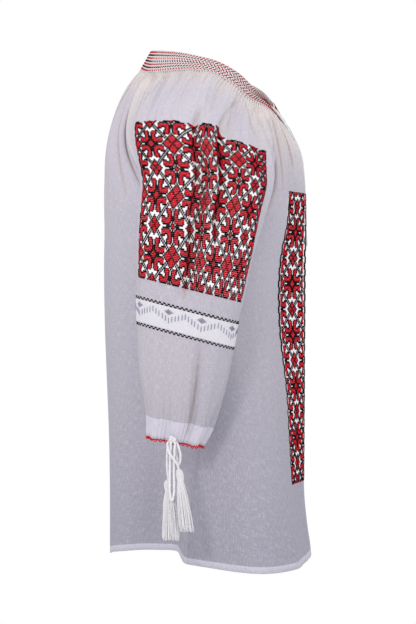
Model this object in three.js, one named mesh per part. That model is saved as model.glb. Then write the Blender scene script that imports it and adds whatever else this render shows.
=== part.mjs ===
// Romanian blouse (ie), filled out as if worn, with nobody in it. Millimetres, +Z up.
// The front faces -Y and the wearer's right sleeve is at -X. The origin is the middle of the neck
// opening, at shoulder height. Every panel is a wall of cloth through sections worked out below.
import * as THREE from "three";

// ---- Driving sizes -------------------------------------------------------------------------
const clothWall = 1.2; // thickness of a cloth wall
const seamGap = 0.4; // clearance between two pieces at a seam
const stitchWall = 1.0; // thickness of an embroidered layer that lies on a panel
const neckTurnDegrees = -7; // the neckline sits turned a little on the shoulders
const neckTurnTop = -60; // height above which the whole turn applies
const neckTurnEnd = -165; // height below which there is no turn
const slitHalfWidth = 22; // half the opening between the ends of the neckband
const slitEndRow = 6; // the yoke row where the front slit closes
const yokeRows = 8; // rows from the neckband down to the underarm
const frontGather = 58; // length of neckband that holds half of the front panel
const backGather = 70; // length of neckband that holds half of the back panel
const underarm = { x: 205, y: -10, z: -196 };
const stripInner = 14; // from centre front to the inner edge of an embroidered strip
const stripOuter = 90; // and to its outer edge
const cordDiameter = 3;

// ---- Tables: one row for each section ------------------------------------------------------
// Half of the neckband, from the slit to centre back; x is measured outward from the middle.
const neckSections = [
  { along: 0, topX: 22, topY: -86, topZ: -38, lowX: 22, lowY: -102, lowZ: -60 },
  { along: 29, topX: 38, topY: -84, topZ: -31, lowX: 49, lowY: -95, lowZ: -49 },
  { along: 58, topX: 60, topY: -80, topZ: -25, lowX: 75, lowY: -86, lowZ: -42 },
  { along: 88, topX: 84, topY: -73, topZ: -18, lowX: 101, lowY: -72, lowZ: -36 },
  { along: 118, topX: 102, topY: -58, topZ: -3, lowX: 121, lowY: -55, lowZ: -20 },
  { along: 150, topX: 114, topY: -33, topZ: 11, lowX: 132, lowY: -30, lowZ: -6 },
  { along: 182, topX: 113, topY: -6, topZ: 19, lowX: 128, lowY: -4, lowZ: -1 },
  { along: 222, topX: 101, topY: 19, topZ: 26, lowX: 110, lowY: 26, lowZ: 1 },
  { along: 262, topX: 80, topY: 41, topZ: 31, lowX: 85, lowY: 54, lowZ: 2 },
  { along: 300, topX: 50, topY: 61, topZ: 36, lowX: 53, lowY: 74, lowZ: 6 },
  { along: 358, topX: 0, topY: 76, topZ: 41, lowX: 0, lowY: 91, lowZ: 16 },
];
const neckHalf = 358; // length of half the neckband, from the slit to centre back

// Half of the body, one row for each height: depth at centre front, the edge of the strip, the
// front corner, the side front, the side seam, the hollow behind it, the back corner and the back.
const bodySections = [
  { z: -196, frontY: -132.5, stripX: 86, stripY: -107, cornerX: 150, cornerY: -97, sideX: 192, sideY: -52,
    seamX: 205, seamY: -10, hollowX: 194, hollowY: 48, backX: 130, backY: 116, midBackY: 136 },
  { z: -262, frontY: -132.5, stripX: 84, stripY: -98, cornerX: 138, cornerY: -80, sideX: 178, sideY: -42,
    seamX: 195, seamY: -6, hollowX: 185, hollowY: 46, backX: 124, backY: 116, midBackY: 137 },
  { z: -335, frontY: -132.5, stripX: 84, stripY: -98.5, cornerX: 138, cornerY: -78, sideX: 177, sideY: -42,
    seamX: 193, seamY: -4, hollowX: 172, hollowY: 46, backX: 118, backY: 115, midBackY: 136 },
  { z: -410, frontY: -131.4, stripX: 86, stripY: -106, cornerX: 143, cornerY: -88, sideX: 182, sideY: -48,
    seamX: 191, seamY: -3, hollowX: 155, hollowY: 46, backX: 112, backY: 113, midBackY: 133 },
  { z: -480, frontY: -130, stripX: 87, stripY: -110, cornerX: 148, cornerY: -96, sideX: 190, sideY: -54,
    seamX: 185, seamY: 0, hollowX: 138, hollowY: 46, backX: 106, backY: 112, midBackY: 130 },
  { z: -560, frontY: -130, stripX: 88, stripY: -116, cornerX: 155, cornerY: -106, sideX: 202, sideY: -62,
    seamX: 172, seamY: 12, hollowX: 118, hollowY: 42, backX: 100, backY: 111, midBackY: 129 },
  { z: -638, frontY: -138.7, stripX: 89, stripY: -131, cornerX: 162, cornerY: -117, sideX: 212, sideY: -72,
    seamX: 152, seamY: 18, hollowX: 106, hollowY: 40, backX: 94, backY: 112, midBackY: 129 },
];
// How far the hem rises round the body; the shares of the way to the side seam between which it
// does so; and the height below which the cloth starts to rise, with the fall to the full rise.
const hemLift = { front: 0, seam: 5, hollow: 17, back: 2 };
const hemShares = { frontStart: 0.5, hollowEnd: 0.625, seamStart: 0.8 };
const hemStart = { z: -480, fall: 150 };

// The sleeve as rings that tilt down to the front: heights and places of the back and front edges.
const sleeveSections = [
  { name: "underarm", backZ: -226, backY: 74, frontZ: -246, frontY: -67.5, innerX: 213, outerX: 290 },
  { name: "panelEnd", backZ: -269, backY: 74, frontZ: -301, frontY: -56, innerX: 214, outerX: 290 },
  { name: "zigzagHigh", backZ: -291, backY: 74, frontZ: -323, frontY: -50, innerX: 214, outerX: 288 },
  { name: "zigzagLow", backZ: -327, backY: 73, frontZ: -358, frontY: -44, innerX: 215, outerX: 285 },
  { name: "forearm", backZ: -388, backY: 70, frontZ: -407, frontY: -34, innerX: 215, outerX: 281 },
  { name: "casing", backZ: -437, backY: 61, frontZ: -452, frontY: -18, innerX: 216, outerX: 273 },
  { name: "cuff", backZ: -464, backY: 60, frontZ: -475, frontY: -5, innerX: 217, outerX: 268 },
];

// Control points of the raglan seams, from the neckband to the underarm, as steps from each end.
const raglanFront = { start: [45, -27, -34], end: [0, -85, 0] };
const raglanBack = { start: [45, 29, -39], end: [0, 105, 0] };
// Steps that shape the fall of the sleeve, from the seam (out) and from its first ring (foot).
const sleeveFall = {
  underarm: { out: [18, 0, 0], foot: [0, 0, 24] },
  backEdge: { out: [50, -2, -25], foot: [-15, -6, 119] },
  crown: { out: [75, 0, -14], foot: [0, 0, 121] },
  frontEdge: { out: [44, -33, -23], foot: [-10, -33, 109] },
};

// ---- Shape numbers -------------------------------------------------------------------------
const slitCurl = 3; // how quickly the slit's opening fades across the panel
const slitTaper = 1.2; // how it closes down the yoke
const crownFullness = 0.7; // less is a rounder shoulder
const outlineSteps = 48; // steps along each stretch of the body's outline
const pointsPerMm = 20; // points nearer than a twentieth of a millimetre are one
const pointShift = 0.137; // keeps round numbers away from the edge of that grid

// ---- Small vector helpers ------------------------------------------------------------------
const add = (a, b, k = 1) => [a[0] + b[0] * k, a[1] + b[1] * k, a[2] + b[2] * k];
const lerp = (a, b, t) => a + (b - a) * t;
const mix = (a, b, t) => [0, 1, 2].map((k) => lerp(a[k], b[k], t));
const clamp01 = (t) => Math.min(1, Math.max(0, t));
const smooth = (t) => clamp01(t) ** 2 * (3 - 2 * clamp01(t));
const distance = (a, b) => Math.hypot(a[0] - b[0], a[1] - b[1], a[2] - b[2]);
const bell = (t, width) => Math.exp(-((t / width) ** 2));

// A smooth value between table rows: Catmull-Rom in the column named by key.
function between(rows, key, column, at) {
  let i = 0;
  const rising = rows[1][key] > rows[0][key];
  while (i < rows.length - 2 && (rising ? at > rows[i + 1][key] : at < rows[i + 1][key])) i += 1;
  const row = (n) => rows[Math.min(rows.length - 1, Math.max(0, n))];
  const [a, b] = [row(i), row(i + 1)];
  const span = b[key] - a[key];
  const t = clamp01((at - a[key]) / span);
  const slope = (from, to) => (to[column] - from[column]) / (to[key] - from[key]);
  const m0 = slope(row(i - 1), b) * span;
  const m1 = slope(a, row(i + 2)) * span;
  const [t2, t3] = [t * t, t * t * t];
  return (2 * t3 - 3 * t2 + 1) * a[column] + (t3 - 2 * t2 + t) * m0
    + (3 * t2 - 2 * t3) * b[column] + (t3 - t2) * m1;
}

// A point on a cubic Bezier curve.
function bezier(p0, p1, p2, p3, t) {
  const s = 1 - t;
  const weights = [s ** 3, 3 * s * s * t, 3 * s * t * t, t ** 3];
  return [0, 1, 2].map((k) => [p0, p1, p2, p3].reduce((sum, p, n) => sum + weights[n] * p[k], 0));
}

// Points at the given fractions of the length of a polyline.
function atFractions(line, fractions) {
  const run = [0];
  for (let i = 1; i < line.length; i += 1) run.push(run[i - 1] + distance(line[i - 1], line[i]));
  return fractions.map((f) => {
    const want = f * run[run.length - 1];
    let i = 1;
    while (i < run.length - 1 && run[i] < want) i += 1;
    return mix(line[i - 1], line[i], (want - run[i - 1]) / (run[i] - run[i - 1]));
  });
}

// ---- The blouse as curves, right half only: x is outward, y back, z up -----------------------
const neckPoint = (columns, along) => columns.map((c) => between(neckSections, "along", c, along));
const neckLow = (along) => neckPoint(["lowX", "lowY", "lowZ"], along);
const neckTop = (along) => neckPoint(["topX", "topY", "topZ"], along);
const underarmPoint = [underarm.x, underarm.y, underarm.z];

function raglanSeam(side, t) {
  const { start, end } = side === "front" ? raglanFront : raglanBack;
  const p0 = neckLow(side === "front" ? frontGather : neckHalf - backGather);
  return bezier(p0, add(p0, start), add(underarmPoint, end), underarmPoint, t);
}

// The body's outline at one height, from centre front to centre back, as two polylines.
function bodyOutline(z) {
  const value = (column) => between(bodySections, "z", column, z);
  const keys = [
    [0, value("frontY")],
    ...["strip", "corner", "side", "seam", "hollow", "back"].map((n) => [value(`${n}X`), value(`${n}Y`)]),
    [0, value("midBackY")],
  ];
  const mirrored = [[-keys[1][0], keys[1][1]], ...keys, [-keys[6][0], keys[6][1]]];
  const points = mirrored.map(([x, y]) => new THREE.Vector3(x, y, z));
  const curve = new THREE.CatmullRomCurve3(points, false, "centripetal");
  const pieces = mirrored.length - 1;
  const stretch = (from, to) => Array.from({ length: outlineSteps + 1 }, (_, i) => {
    const p = curve.getPoint(lerp(from, to, i / outlineSteps) / pieces);
    return [p.x, p.y, p.z];
  });
  return { front: stretch(1, 5), back: stretch(8, 5) };
}

// How far the hem is raised at a fraction of the way from the middle to the side seam.
function hemRise(side, f) {
  const { front, seam, hollow, back } = hemLift;
  const rise = (from, to) => smooth((f - from) / (to - from));
  if (side === "front") return lerp(front, seam, rise(hemShares.frontStart, 1));
  return lerp(back, hollow, rise(0, hemShares.hollowEnd)) + (seam - hollow) * rise(hemShares.seamStart, 1);
}

// ---- Panels as grids of points, rows down the cloth and columns across it --------------------
const frontStations = [0, stripInner, 33, 52, 71, stripOuter]; // columns near the strips
const frontSideColumns = 4;
const backColumns = 8;
const bodyRows = [-228, -275, -330, -385, -436, -487, -537, -590, -638];
const seamColumns = yokeRows; // sleeve columns that start on each raglan seam
const crownColumns = 16; // sleeve columns that start on the neckband
const sleeveColumns = 2 * seamColumns + crownColumns;
const frontEdgeColumn = seamColumns + crownColumns;
const sleeveRows = [1, 2.15, 2.85, 3.5, 4, 4.5, 5, 6]; // places in sleeveSections
const edgeShare = 0.235; // share of a sleeve ring from the underarm seam to the back or front edge

function bodyPoint(side, f, z) {
  const p = atFractions(bodyOutline(z)[side], [f])[0];
  return [p[0], p[1], p[2] + hemRise(side, f) * smooth((hemStart.z - z) / hemStart.fall)];
}

function lineLength(line) {
  return line.slice(1).reduce((sum, p, i) => sum + distance(line[i], p), 0);
}

const evenFractions = (n) => Array.from({ length: n + 1 }, (_, i) => i / n);

// Columns of the front keep their distance from the middle where the strips lie.
function frontFractions(z) {
  const half = lineLength(bodyOutline(z).front);
  const near = frontStations.map((d) => d / half);
  const last = near[near.length - 1];
  const far = evenFractions(frontSideColumns).slice(1);
  return [...near, ...far.map((t) => lerp(last, 1, t))];
}

// Half of the front or back: the yoke falls from the neckband to the underarm row, and the rest hangs.
function bodyHalf(side) {
  const isFront = side === "front";
  const fractionsAt = (z) => (isFront ? frontFractions(z) : evenFractions(backColumns));
  const across = fractionsAt(underarm.z);
  const raglan = isFront ? raglanFront : raglanBack;
  const middleStart = isFront ? [0, -31, -33] : [0, 42, -26];
  const middleEnd = isFront ? [0, 0, 60] : [0, 2, 86];
  const slitEnd = slitEndRow / yokeRows;
  const rows = [];
  for (let i = 0; i <= yokeRows; i += 1) {
    const v = i / yokeRows;
    rows.push(across.map((q) => {
      const along = isFront ? q * frontGather : neckHalf - q * backGather;
      const slit = isFront ? slitHalfWidth * (1 - q) ** slitCurl : 0;
      const open = v < slitEnd ? (1 - v / slitEnd) ** slitTaper : 0;
      const top = add(neckLow(along), [-slit, 0, 0]);
      const foot = atFractions(bodyOutline(underarm.z)[side], [q])[0];
      const p1 = add(top, mix(middleStart, raglan.start, q));
      const p2 = add(foot, mix(middleEnd, raglan.end, q ** 3));
      return add(bezier(top, p1, p2, foot, v), [slit * open, 0, 0]);
    }));
  }
  bodyRows.forEach((z) => rows.push(fractionsAt(z).map((f) => bodyPoint(side, f, z))));
  return rows;
}

// A sleeve ring: a rounded flat tube that tilts down to the front, from the underarm seam round the
// back edge, the outside and the front edge.
const ringSquareness = 2 / 2.5; // 1 is an ellipse, less is squarer
const ringSamples = 96;
function sleeveRing(place) {
  const value = (column) => between(sleeveRingRows, "n", column, place);
  const [backY, frontY, innerX, outerX] = ["backY", "frontY", "innerX", "outerX"].map(value);
  const [backZ, frontZ] = [value("backZ"), value("frontZ")];
  return Array.from({ length: ringSamples + 1 }, (_, i) => {
    const a = (i / ringSamples) * 2 * Math.PI;
    const round = (c) => Math.sign(c) * Math.abs(c) ** ringSquareness;
    const share = 0.5 + 0.5 * round(Math.sin(a));
    const x = lerp(innerX, outerX, 0.5 - 0.5 * round(Math.cos(a)));
    return [x, lerp(frontY, backY, share), lerp(frontZ, backZ, share)];
  });
}
const sleeveRingRows = sleeveSections.map((row, n) => ({ n, ...row }));

// Share of a sleeve ring at a column; columns 0 and the last lie on the underarm seam.
function ringShare(column) {
  if (column <= seamColumns) return (edgeShare * column) / seamColumns;
  if (column >= frontEdgeColumn) return 1 - (edgeShare * (sleeveColumns - column)) / seamColumns;
  return lerp(edgeShare, 1 - edgeShare, (column - seamColumns) / crownColumns);
}

// Where a sleeve column starts, and the steps that shape its fall to the first ring.
function sleeveStart(column) {
  const mixFall = (a, b, t) => ({ out: mix(a.out, b.out, t), foot: mix(a.foot, b.foot, t) });
  const { underarm: low, backEdge, crown, frontEdge } = sleeveFall;
  if (column <= seamColumns) {
    const rise = column / seamColumns;
    return { point: raglanSeam("back", 1 - rise), ...mixFall(low, backEdge, rise) };
  }
  if (column >= frontEdgeColumn) {
    const rise = (sleeveColumns - column) / seamColumns;
    return { point: raglanSeam("front", 1 - rise), ...mixFall(low, frontEdge, rise) };
  }
  const share = (column - seamColumns) / crownColumns; // 0 at the back edge, 1 at the front edge
  return {
    point: neckLow(lerp(neckHalf - backGather, frontGather, share)),
    ...mixFall(mixFall(backEdge, frontEdge, share), crown, Math.sin(Math.PI * share) ** crownFullness),
  };
}

// The sleeve's surface at a row and a column: it falls from the neckband and the raglan seams to
// the first ring, then follows the rings to the cuff.
function sleevePoint(row, column) {
  const share = ringShare(column);
  if (row > yokeRows) return atFractions(sleeveRing(sleeveRows[row - yokeRows - 1]), [share])[0];
  const { point, out, foot } = sleeveStart(column);
  const end = atFractions(sleeveRing(0), [share])[0];
  return bezier(point, add(point, out), add(end, foot), end, row / yokeRows);
}

// The column before the front edge is the edge of the embroidered panel: it runs straight down.
const panelEdge = { top: 0.4, foot: 1.1, startRow: 3, rows: 5 }; // columns short of the front edge
const panelInset = (row) => {
  const { top, foot, startRow, rows } = panelEdge;
  return lerp(top, foot, smooth((row - startRow) / rows));
};
function sleeveHalf() {
  const columnAt = (row, j) => (j === frontEdgeColumn - 1 ? frontEdgeColumn - panelInset(row) : j);
  return Array.from({ length: yokeRows + sleeveRows.length + 1 }, (_, row) =>
    Array.from({ length: sleeveColumns + 1 }, (__, j) => sleevePoint(row, columnAt(row, j))));
}

// ---- Folds: how far a grid point moves out (+) or in (-) along the cloth's normal -------------
const yokeTopZ = -60; // height of the yoke's first row at centre front
const yokeRowZ = (i) => lerp(yokeTopZ, underarm.z, i / yokeRows);
const bodyRowAt = (i) => (i <= yokeRows ? yokeRowZ(i) : bodyRows[i - yokeRows - 1]);
// Gathers of the yoke: the column they lie on, their depth and the yoke share where they end.
const frontGathers = [
  { column: 2, depth: 4, end: 0.8 }, { column: 4, depth: 6, end: 0.95 },
  { column: 6, depth: 7, end: 1 }, { column: 8, depth: 6, end: 0.9 },
];
const backGathers = [
  { column: 1, depth: 5, end: 0.8 }, { column: 3, depth: 7, end: 1 },
  { column: 5, depth: 6, end: 0.9 }, { column: 7, depth: 6, end: 0.9 },
];
const sleeveGathers = [
  { column: 10, depth: 5, end: 0.45 }, { column: 12, depth: 6, end: 0.5 },
  { column: 14, depth: 5, end: 0.4 }, { column: 16, depth: 6, end: 0.45 },
  { column: 19, depth: 6, end: 0.45 }, { column: 21, depth: 6, end: 0.6 }, { column: 23, depth: 6, end: 0.7 },
];
// Pleats of the sleeve: their column at the top and the foot, rows they start and end on, depth.
const sleevePleats = [
  { from: 18, to: 15.5, startRow: 3, endRow: 9.6, depth: 10 },
  { from: 20.5, to: 17.9, startRow: 3, endRow: 8, depth: 9 },
  { from: 18, to: 18, startRow: 11, endRow: 16, depth: 6 },
];
const gatherWidth = 0.8; // columns from the bottom of a gather to its side
const gatherSwell = { skew: 0.6, fullness: 0.8 }; // swells early below the neckband, with a broad middle
const pleatWidth = 0.75;
const pleatFullness = 0.5;
const seamFade = 2; // columns over which the sleeve's folds grow from its underarm seam
const cuffGathers = { depth: 2.5, startRow: 13, rows: 3, columns: 4 };
// The hollow between the two strips: its depth at the chest and below, the rows over which it
// starts, and the heights that shape it.
const centreHollow = {
  depth: 12, lowDepth: 5, startRow: 3, rows: 3, chestZ: -240, chestFall: 90, hemZ: -540, hemFall: 80,
};

function gatherDepth(gathers, i, j) {
  const v = i / yokeRows;
  return gathers.reduce((sum, g) => {
    if (v >= g.end || v <= 0) return sum;
    const swell = Math.sin(Math.PI * (v / g.end) ** gatherSwell.skew) ** gatherSwell.fullness;
    return sum - g.depth * swell * bell(j - g.column, gatherWidth);
  }, 0);
}

function sleeveFold(i, j) {
  let depth = gatherDepth(sleeveGathers, i, j);
  sleevePleats.forEach((p) => {
    const t = (i - p.startRow) / (p.endRow - p.startRow);
    if (t <= 0 || t >= 1) return;
    const swell = Math.sin(Math.PI * t) ** pleatFullness;
    depth -= p.depth * swell * bell(j - lerp(p.from, p.to, t), pleatWidth);
  });
  const cuffShare = smooth((i - cuffGathers.startRow) / cuffGathers.rows);
  const wave = Math.cos((2 * Math.PI * j) / cuffGathers.columns);
  const ends = Math.min(1, j / seamFade, (sleeveColumns - j) / seamFade);
  return ends * (depth + cuffGathers.depth * cuffShare * wave);
}

function frontFold(i, j) {
  if (j > 0) return gatherDepth(frontGathers, i, j);
  const z = bodyRowAt(i);
  const { depth, lowDepth, startRow, rows, chestZ, chestFall, hemZ, hemFall } = centreHollow;
  const hollow = lerp(depth, lowDepth, smooth((chestZ - z) / chestFall));
  return -hollow * smooth((i - startRow) / rows) * (1 - smooth((hemZ - z) / hemFall));
}
const backFold = (i, j) => gatherDepth(backGathers, i, j);

// ---- From half grids to the whole blouse -----------------------------------------------------
// The right half is mirrored in x for the left, and both are turned with the neckline.
function place(p, handed) {
  const share = smooth((p[2] - neckTurnEnd) / (neckTurnTop - neckTurnEnd));
  const turn = (neckTurnDegrees * Math.PI / 180) * share;
  const [x, y] = [p[0] * handed, p[1]];
  return [x * Math.cos(turn) - y * Math.sin(turn), x * Math.sin(turn) + y * Math.cos(turn), p[2]];
}

// A surface is a list of points and of quads; facing -1 turns the quads over, so that they face out.
function surface(grid, facing) {
  const columns = grid[0].length;
  const quads = [];
  for (let i = 0; i < grid.length - 1; i += 1) {
    for (let j = 0; j < columns - 1; j += 1) {
      const corner = i * columns + j;
      const quad = [corner, corner + columns, corner + columns + 1, corner + 1];
      quads.push(facing > 0 ? quad : quad.reverse());
    }
  }
  return { points: grid.flat(), quads };
}

// Two surfaces joined into one where their points meet.
function joined(a, b) {
  const points = [];
  const index = new Map();
  const indexOf = (p) => {
    const key = pointKey(p);
    if (!index.has(key)) {
      index.set(key, points.length);
      points.push(p);
    }
    return index.get(key);
  };
  const quads = [a, b].flatMap((s) => s.quads.map((quad) => quad.map((k) => indexOf(s.points[k]))));
  return { points, quads };
}

function quadNormal(points, quad) {
  const [a, b, c, d] = quad.map((n) => new THREE.Vector3(...points[n]));
  return new THREE.Vector3().crossVectors(c.sub(a), d.sub(b));
}

// The sum of the normals of all cloth round a point, so that pieces share a normal at a seam.
const pointKey = (p) => p.map((c) => Math.round(c * pointsPerMm + pointShift)).join(",");
function gatherNormals(surfaces) {
  const sums = new Map();
  surfaces.forEach(({ points, quads }) => quads.forEach((quad) => {
    const n = quadNormal(points, quad);
    quad.forEach((k) => {
      const key = pointKey(points[k]);
      if (!sums.has(key)) sums.set(key, new THREE.Vector3());
      sums.get(key).add(n);
    });
  }));
  return (p) => sums.get(pointKey(p)).clone().normalize().toArray();
}

// Moves the points of a half grid along their normals by a fold function of row and column. Points
// on a seam stay, and so does the middle line of the body.
function folded(grid, facing, depthAt) {
  const normalAt = gatherNormals([surface(grid, facing)]);
  const last = grid[0].length - 1;
  return grid.map((row, i) => row.map((p, j) => {
    const depth = j === last ? 0 : depthAt(i, j);
    if (depth === 0) return p;
    const moved = add(p, normalAt(p), depth);
    return p[0] === 0 ? [0, moved[1], moved[2]] : moved;
  }));
}

// The step that draws a point back from both its open edges, square to the normal there.
function drawnBack(normal, inwardSum, distanceBack) {
  if (!inwardSum) return [0, 0, 0];
  const length = (2 * distanceBack) / inwardSum.length();
  return inwardSum.clone().projectOnPlane(new THREE.Vector3(...normal)).setLength(length).toArray();
}

const openEdges = (quads) => {
  const edges = new Map();
  quads.forEach((quad) => quad.forEach((a, n) => {
    const b = quad[(n + 1) % 4];
    if (edges.has(`${b},${a}`)) edges.delete(`${b},${a}`);
    else edges.set(`${a},${b}`, [a, b, quad]);
  }));
  return [...edges.values()];
};

// A wall of cloth: the surface moved out and in, closed along its open edges by a rim. Edges on a
// seam draw back by half the seam gap.
function clothWallGeometry(shape, normalAt, { wall, lift = 0, drawBack = seamGap / 2 }) {
  const used = new Set(shape.quads.flat());
  const edges = openEdges(shape.quads);
  const pull = new Map();
  edges.forEach(([a, b, quad]) => {
    const n = quadNormal(shape.points, quad).normalize();
    const along = new THREE.Vector3(...add(shape.points[b], shape.points[a], -1)).normalize();
    const inward = n.cross(along);
    [a, b].forEach((k) => pull.set(k, (pull.get(k) || new THREE.Vector3()).add(inward)));
  });
  const index = new Map();
  const positions = [];
  [...used].forEach((k) => {
    const n = normalAt(shape.points[k]);
    const base = add(shape.points[k], drawnBack(n, pull.get(k), drawBack));
    index.set(k, positions.length / 3);
    positions.push(...add(base, n, lift + wall / 2), ...add(base, n, lift - wall / 2));
  });
  const outer = (k) => index.get(k);
  const inner = (k) => index.get(k) + 1;
  const triangles = [];
  const span = (a, b) => distance(shape.points[a], shape.points[b]);
  shape.quads.forEach((quad) => {
    const shorter = span(quad[0], quad[2]) <= span(quad[1], quad[3]) ? 0 : 1;
    const [a, b, c, d] = [0, 1, 2, 3].map((n) => quad[(n + shorter) % 4]);
    triangles.push(outer(a), outer(b), outer(c), outer(a), outer(c), outer(d));
    triangles.push(inner(a), inner(c), inner(b), inner(a), inner(d), inner(c));
  });
  edges.forEach(([a, b]) => triangles.push(outer(b), outer(a), inner(a), outer(b), inner(a), inner(b)));
  const geometry = new THREE.BufferGeometry();
  geometry.setAttribute("position", new THREE.Float32BufferAttribute(positions, 3));
  geometry.setIndex(triangles);
  return geometry;
}

// ---- Pieces ----------------------------------------------------------------------------------
const halves = {
  front: folded(bodyHalf("front"), 1, frontFold),
  back: folded(bodyHalf("back"), -1, backFold),
  sleeve: folded(sleeveHalf(), -1, sleeveFold),
};
const placed = (grid, handed) => grid.map((row) => row.map((p) => place(p, handed)));
const spanOf = ([first, last]) => [first, last + 1];
const part = (grid, rows, columns) => grid.slice(...spanOf(rows)).map((row) => row.slice(...spanOf(columns)));
const sides = [{ name: "right", handed: -1 }, { name: "left", handed: 1 }];

// The neckband meets every column of the panels below it.
const bandStops = [
  ...frontFractions(underarm.z).map((q) => q * frontGather),
  ...Array.from({ length: crownColumns - 1 }, (_, k) => {
    const fromFront = k === 0 ? panelInset(0) : k + 1;
    return lerp(frontGather, neckHalf - backGather, fromFront / crownColumns);
  }),
  ...evenFractions(backColumns).map((q) => neckHalf - q * backGather).reverse(),
];
const bandHalf = [0, 0.5, 1].map((t) => bandStops.map((along) => mix(neckTop(along), neckLow(along), t)));
const bandLeft = placed(bandHalf, 1).map((row) => row.slice(0, -1).reverse());
const bandGrid = placed(bandHalf, -1).map((row, i) => [...row, ...bandLeft[i]]);

const cloth = {
  front: joined(surface(placed(halves.front, -1), -1), surface(placed(halves.front, 1), 1)),
  back: joined(surface(placed(halves.back, -1), 1), surface(placed(halves.back, 1), -1)),
  neckband: surface(bandGrid, -1),
  sleeve_right: surface(placed(halves.sleeve, -1), 1),
  sleeve_left: surface(placed(halves.sleeve, 1), -1),
};
const clothNormal = gatherNormals(Object.values(cloth));

const blouse = new THREE.Group();
function addPiece(name, geometry, color) {
  const material = new THREE.MeshStandardMaterial({ color, roughness: 0.9, metalness: 0 });
  const piece = new THREE.Mesh(geometry, material);
  piece.name = name;
  blouse.add(piece);
  return piece;
}
const colours = {
  voile: 0xe6e1e6,
  embroidery: 0xb01c28,
  satin: 0xf2f0f4,
  cord: 0xf0eff2,
  edging: 0xc22030,
  smocking: 0xb8727a,
};

Object.entries(cloth).forEach(([name, shape]) => {
  const color = name === "neckband" ? colours.smocking : colours.voile;
  addPiece(name, clothWallGeometry(shape, clothNormal, { wall: clothWall }), color);
});

// Embroidered layers lie on their panel: its own points, moved out.
const onPanel = clothWall / 2 + seamGap + stitchWall / 2;
const layerInset = 0.5; // an embroidered layer stops this far short of its edges
const panelRows = [4, yokeRows + 1];
const panelColumns = [seamColumns, frontEdgeColumn - 1];
const satinRows = [yokeRows + 2, yokeRows + 3];
const stripRows = [slitEndRow, yokeRows + 7];
const stripColumns = [1, frontStations.length - 1];
const allColumns = [0, sleeveColumns];
const { sleeve, front } = halves;
const layers = [
  { piece: "sleeve_panel", grid: part(sleeve, panelRows, panelColumns), facing: -1, color: "embroidery" },
  { piece: "satin_band", grid: part(sleeve, satinRows, allColumns), facing: -1, color: "satin" },
  { piece: "front_strip", grid: part(front, stripRows, stripColumns), facing: 1, color: "embroidery" },
];
const layerSizes = { wall: stitchWall, lift: onPanel, drawBack: layerInset };
sides.forEach(({ name, handed }) => layers.forEach(({ piece, grid, facing, color }) => {
  const shape = surface(placed(grid, handed), facing * handed);
  addPiece(`${piece}_${name}`, clothWallGeometry(shape, clothNormal, layerSizes), colours[color]);
}));

// The crocheted edging hangs from the cuff.
const edging = { top: 0.6, bottom: 3.5 }; // drops below the cuff
const edgingSizes = { wall: 1, drawBack: 0.2 };
sides.forEach(({ name, handed }) => {
  const cuff = placed(halves.sleeve, handed).at(-1).filter((_, j) => j % 2 === 0);
  const grid = [edging.top, edging.bottom].map((drop) => cuff.map((p) => add(p, [0, 0, -drop])));
  const normals = new Map(grid.flatMap((row) => row.map((p, j) => [pointKey(p), clothNormal(cuff[j])])));
  const normalAt = (p) => normals.get(pointKey(p));
  const wall = clothWallGeometry(surface(grid, -handed), normalAt, edgingSizes);
  addPiece(`cuff_edging_${name}`, wall, colours.edging);
});

// ---- Cords, knots and tassels ------------------------------------------------------------------
// A round cord along a smooth curve through its points.
const sidesOfCord = 8;
const cordStep = 2.2 * cordDiameter;
function cordGeometry(points) {
  const route = points.map((p) => new THREE.Vector3(...p));
  const curve = new THREE.CatmullRomCurve3(route, false, "centripetal");
  const section = new THREE.Shape();
  for (let k = 0; k < sidesOfCord; k += 1) {
    const a = (2 * Math.PI * k) / sidesOfCord;
    const [x, y] = [Math.cos(a) * cordDiameter / 2, Math.sin(a) * cordDiameter / 2];
    if (k === 0) section.moveTo(x, y);
    else section.lineTo(x, y);
  }
  section.closePath();
  const steps = Math.max(4, Math.round(curve.getLength() / cordStep));
  const sweep = { steps, extrudePath: curve, curveSegments: 1, bevelEnabled: false };
  return new THREE.ExtrudeGeometry(section, sweep);
}

// A tassel: a tied head over a spreading skirt, as shares of its length and of its widest radius.
const tasselProfile = [
  { along: 0, radius: 0 }, { along: 0, radius: 0.3 }, { along: 0.06, radius: 0.53 },
  { along: 0.14, radius: 0.5 }, { along: 0.17, radius: 0.36 }, { along: 0.2, radius: 0.42 },
  { along: 0.4, radius: 0.7 }, { along: 0.7, radius: 0.9 }, { along: 1, radius: 1 }, { along: 1, radius: 0 },
];
const roundSegments = 12; // facets round a tassel or a knot
const knotRings = 8;
function addTassel(name, { top, bottom, width, thick }) {
  const profile = tasselProfile.map(({ along, radius }) => new THREE.Vector2(radius, -along));
  const piece = addPiece(name, new THREE.LatheGeometry(profile.reverse(), roundSegments), colours.cord);
  const fall = new THREE.Vector3(...add(bottom, top, -1));
  piece.position.set(...top);
  piece.quaternion.setFromUnitVectors(new THREE.Vector3(0, -1, 0), fall.clone().normalize());
  piece.scale.set(thick / 2, fall.length(), width / 2);
}
const placedTassel = ({ top, bottom, ...sizes }, handed) => (
  { top: place(top, handed), bottom: place(bottom, handed), ...sizes });
function addKnot(name, centre, radius) {
  const ball = new THREE.SphereGeometry(radius, roundSegments, knotRings);
  addPiece(name, ball, colours.cord).position.set(...centre);
}

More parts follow.
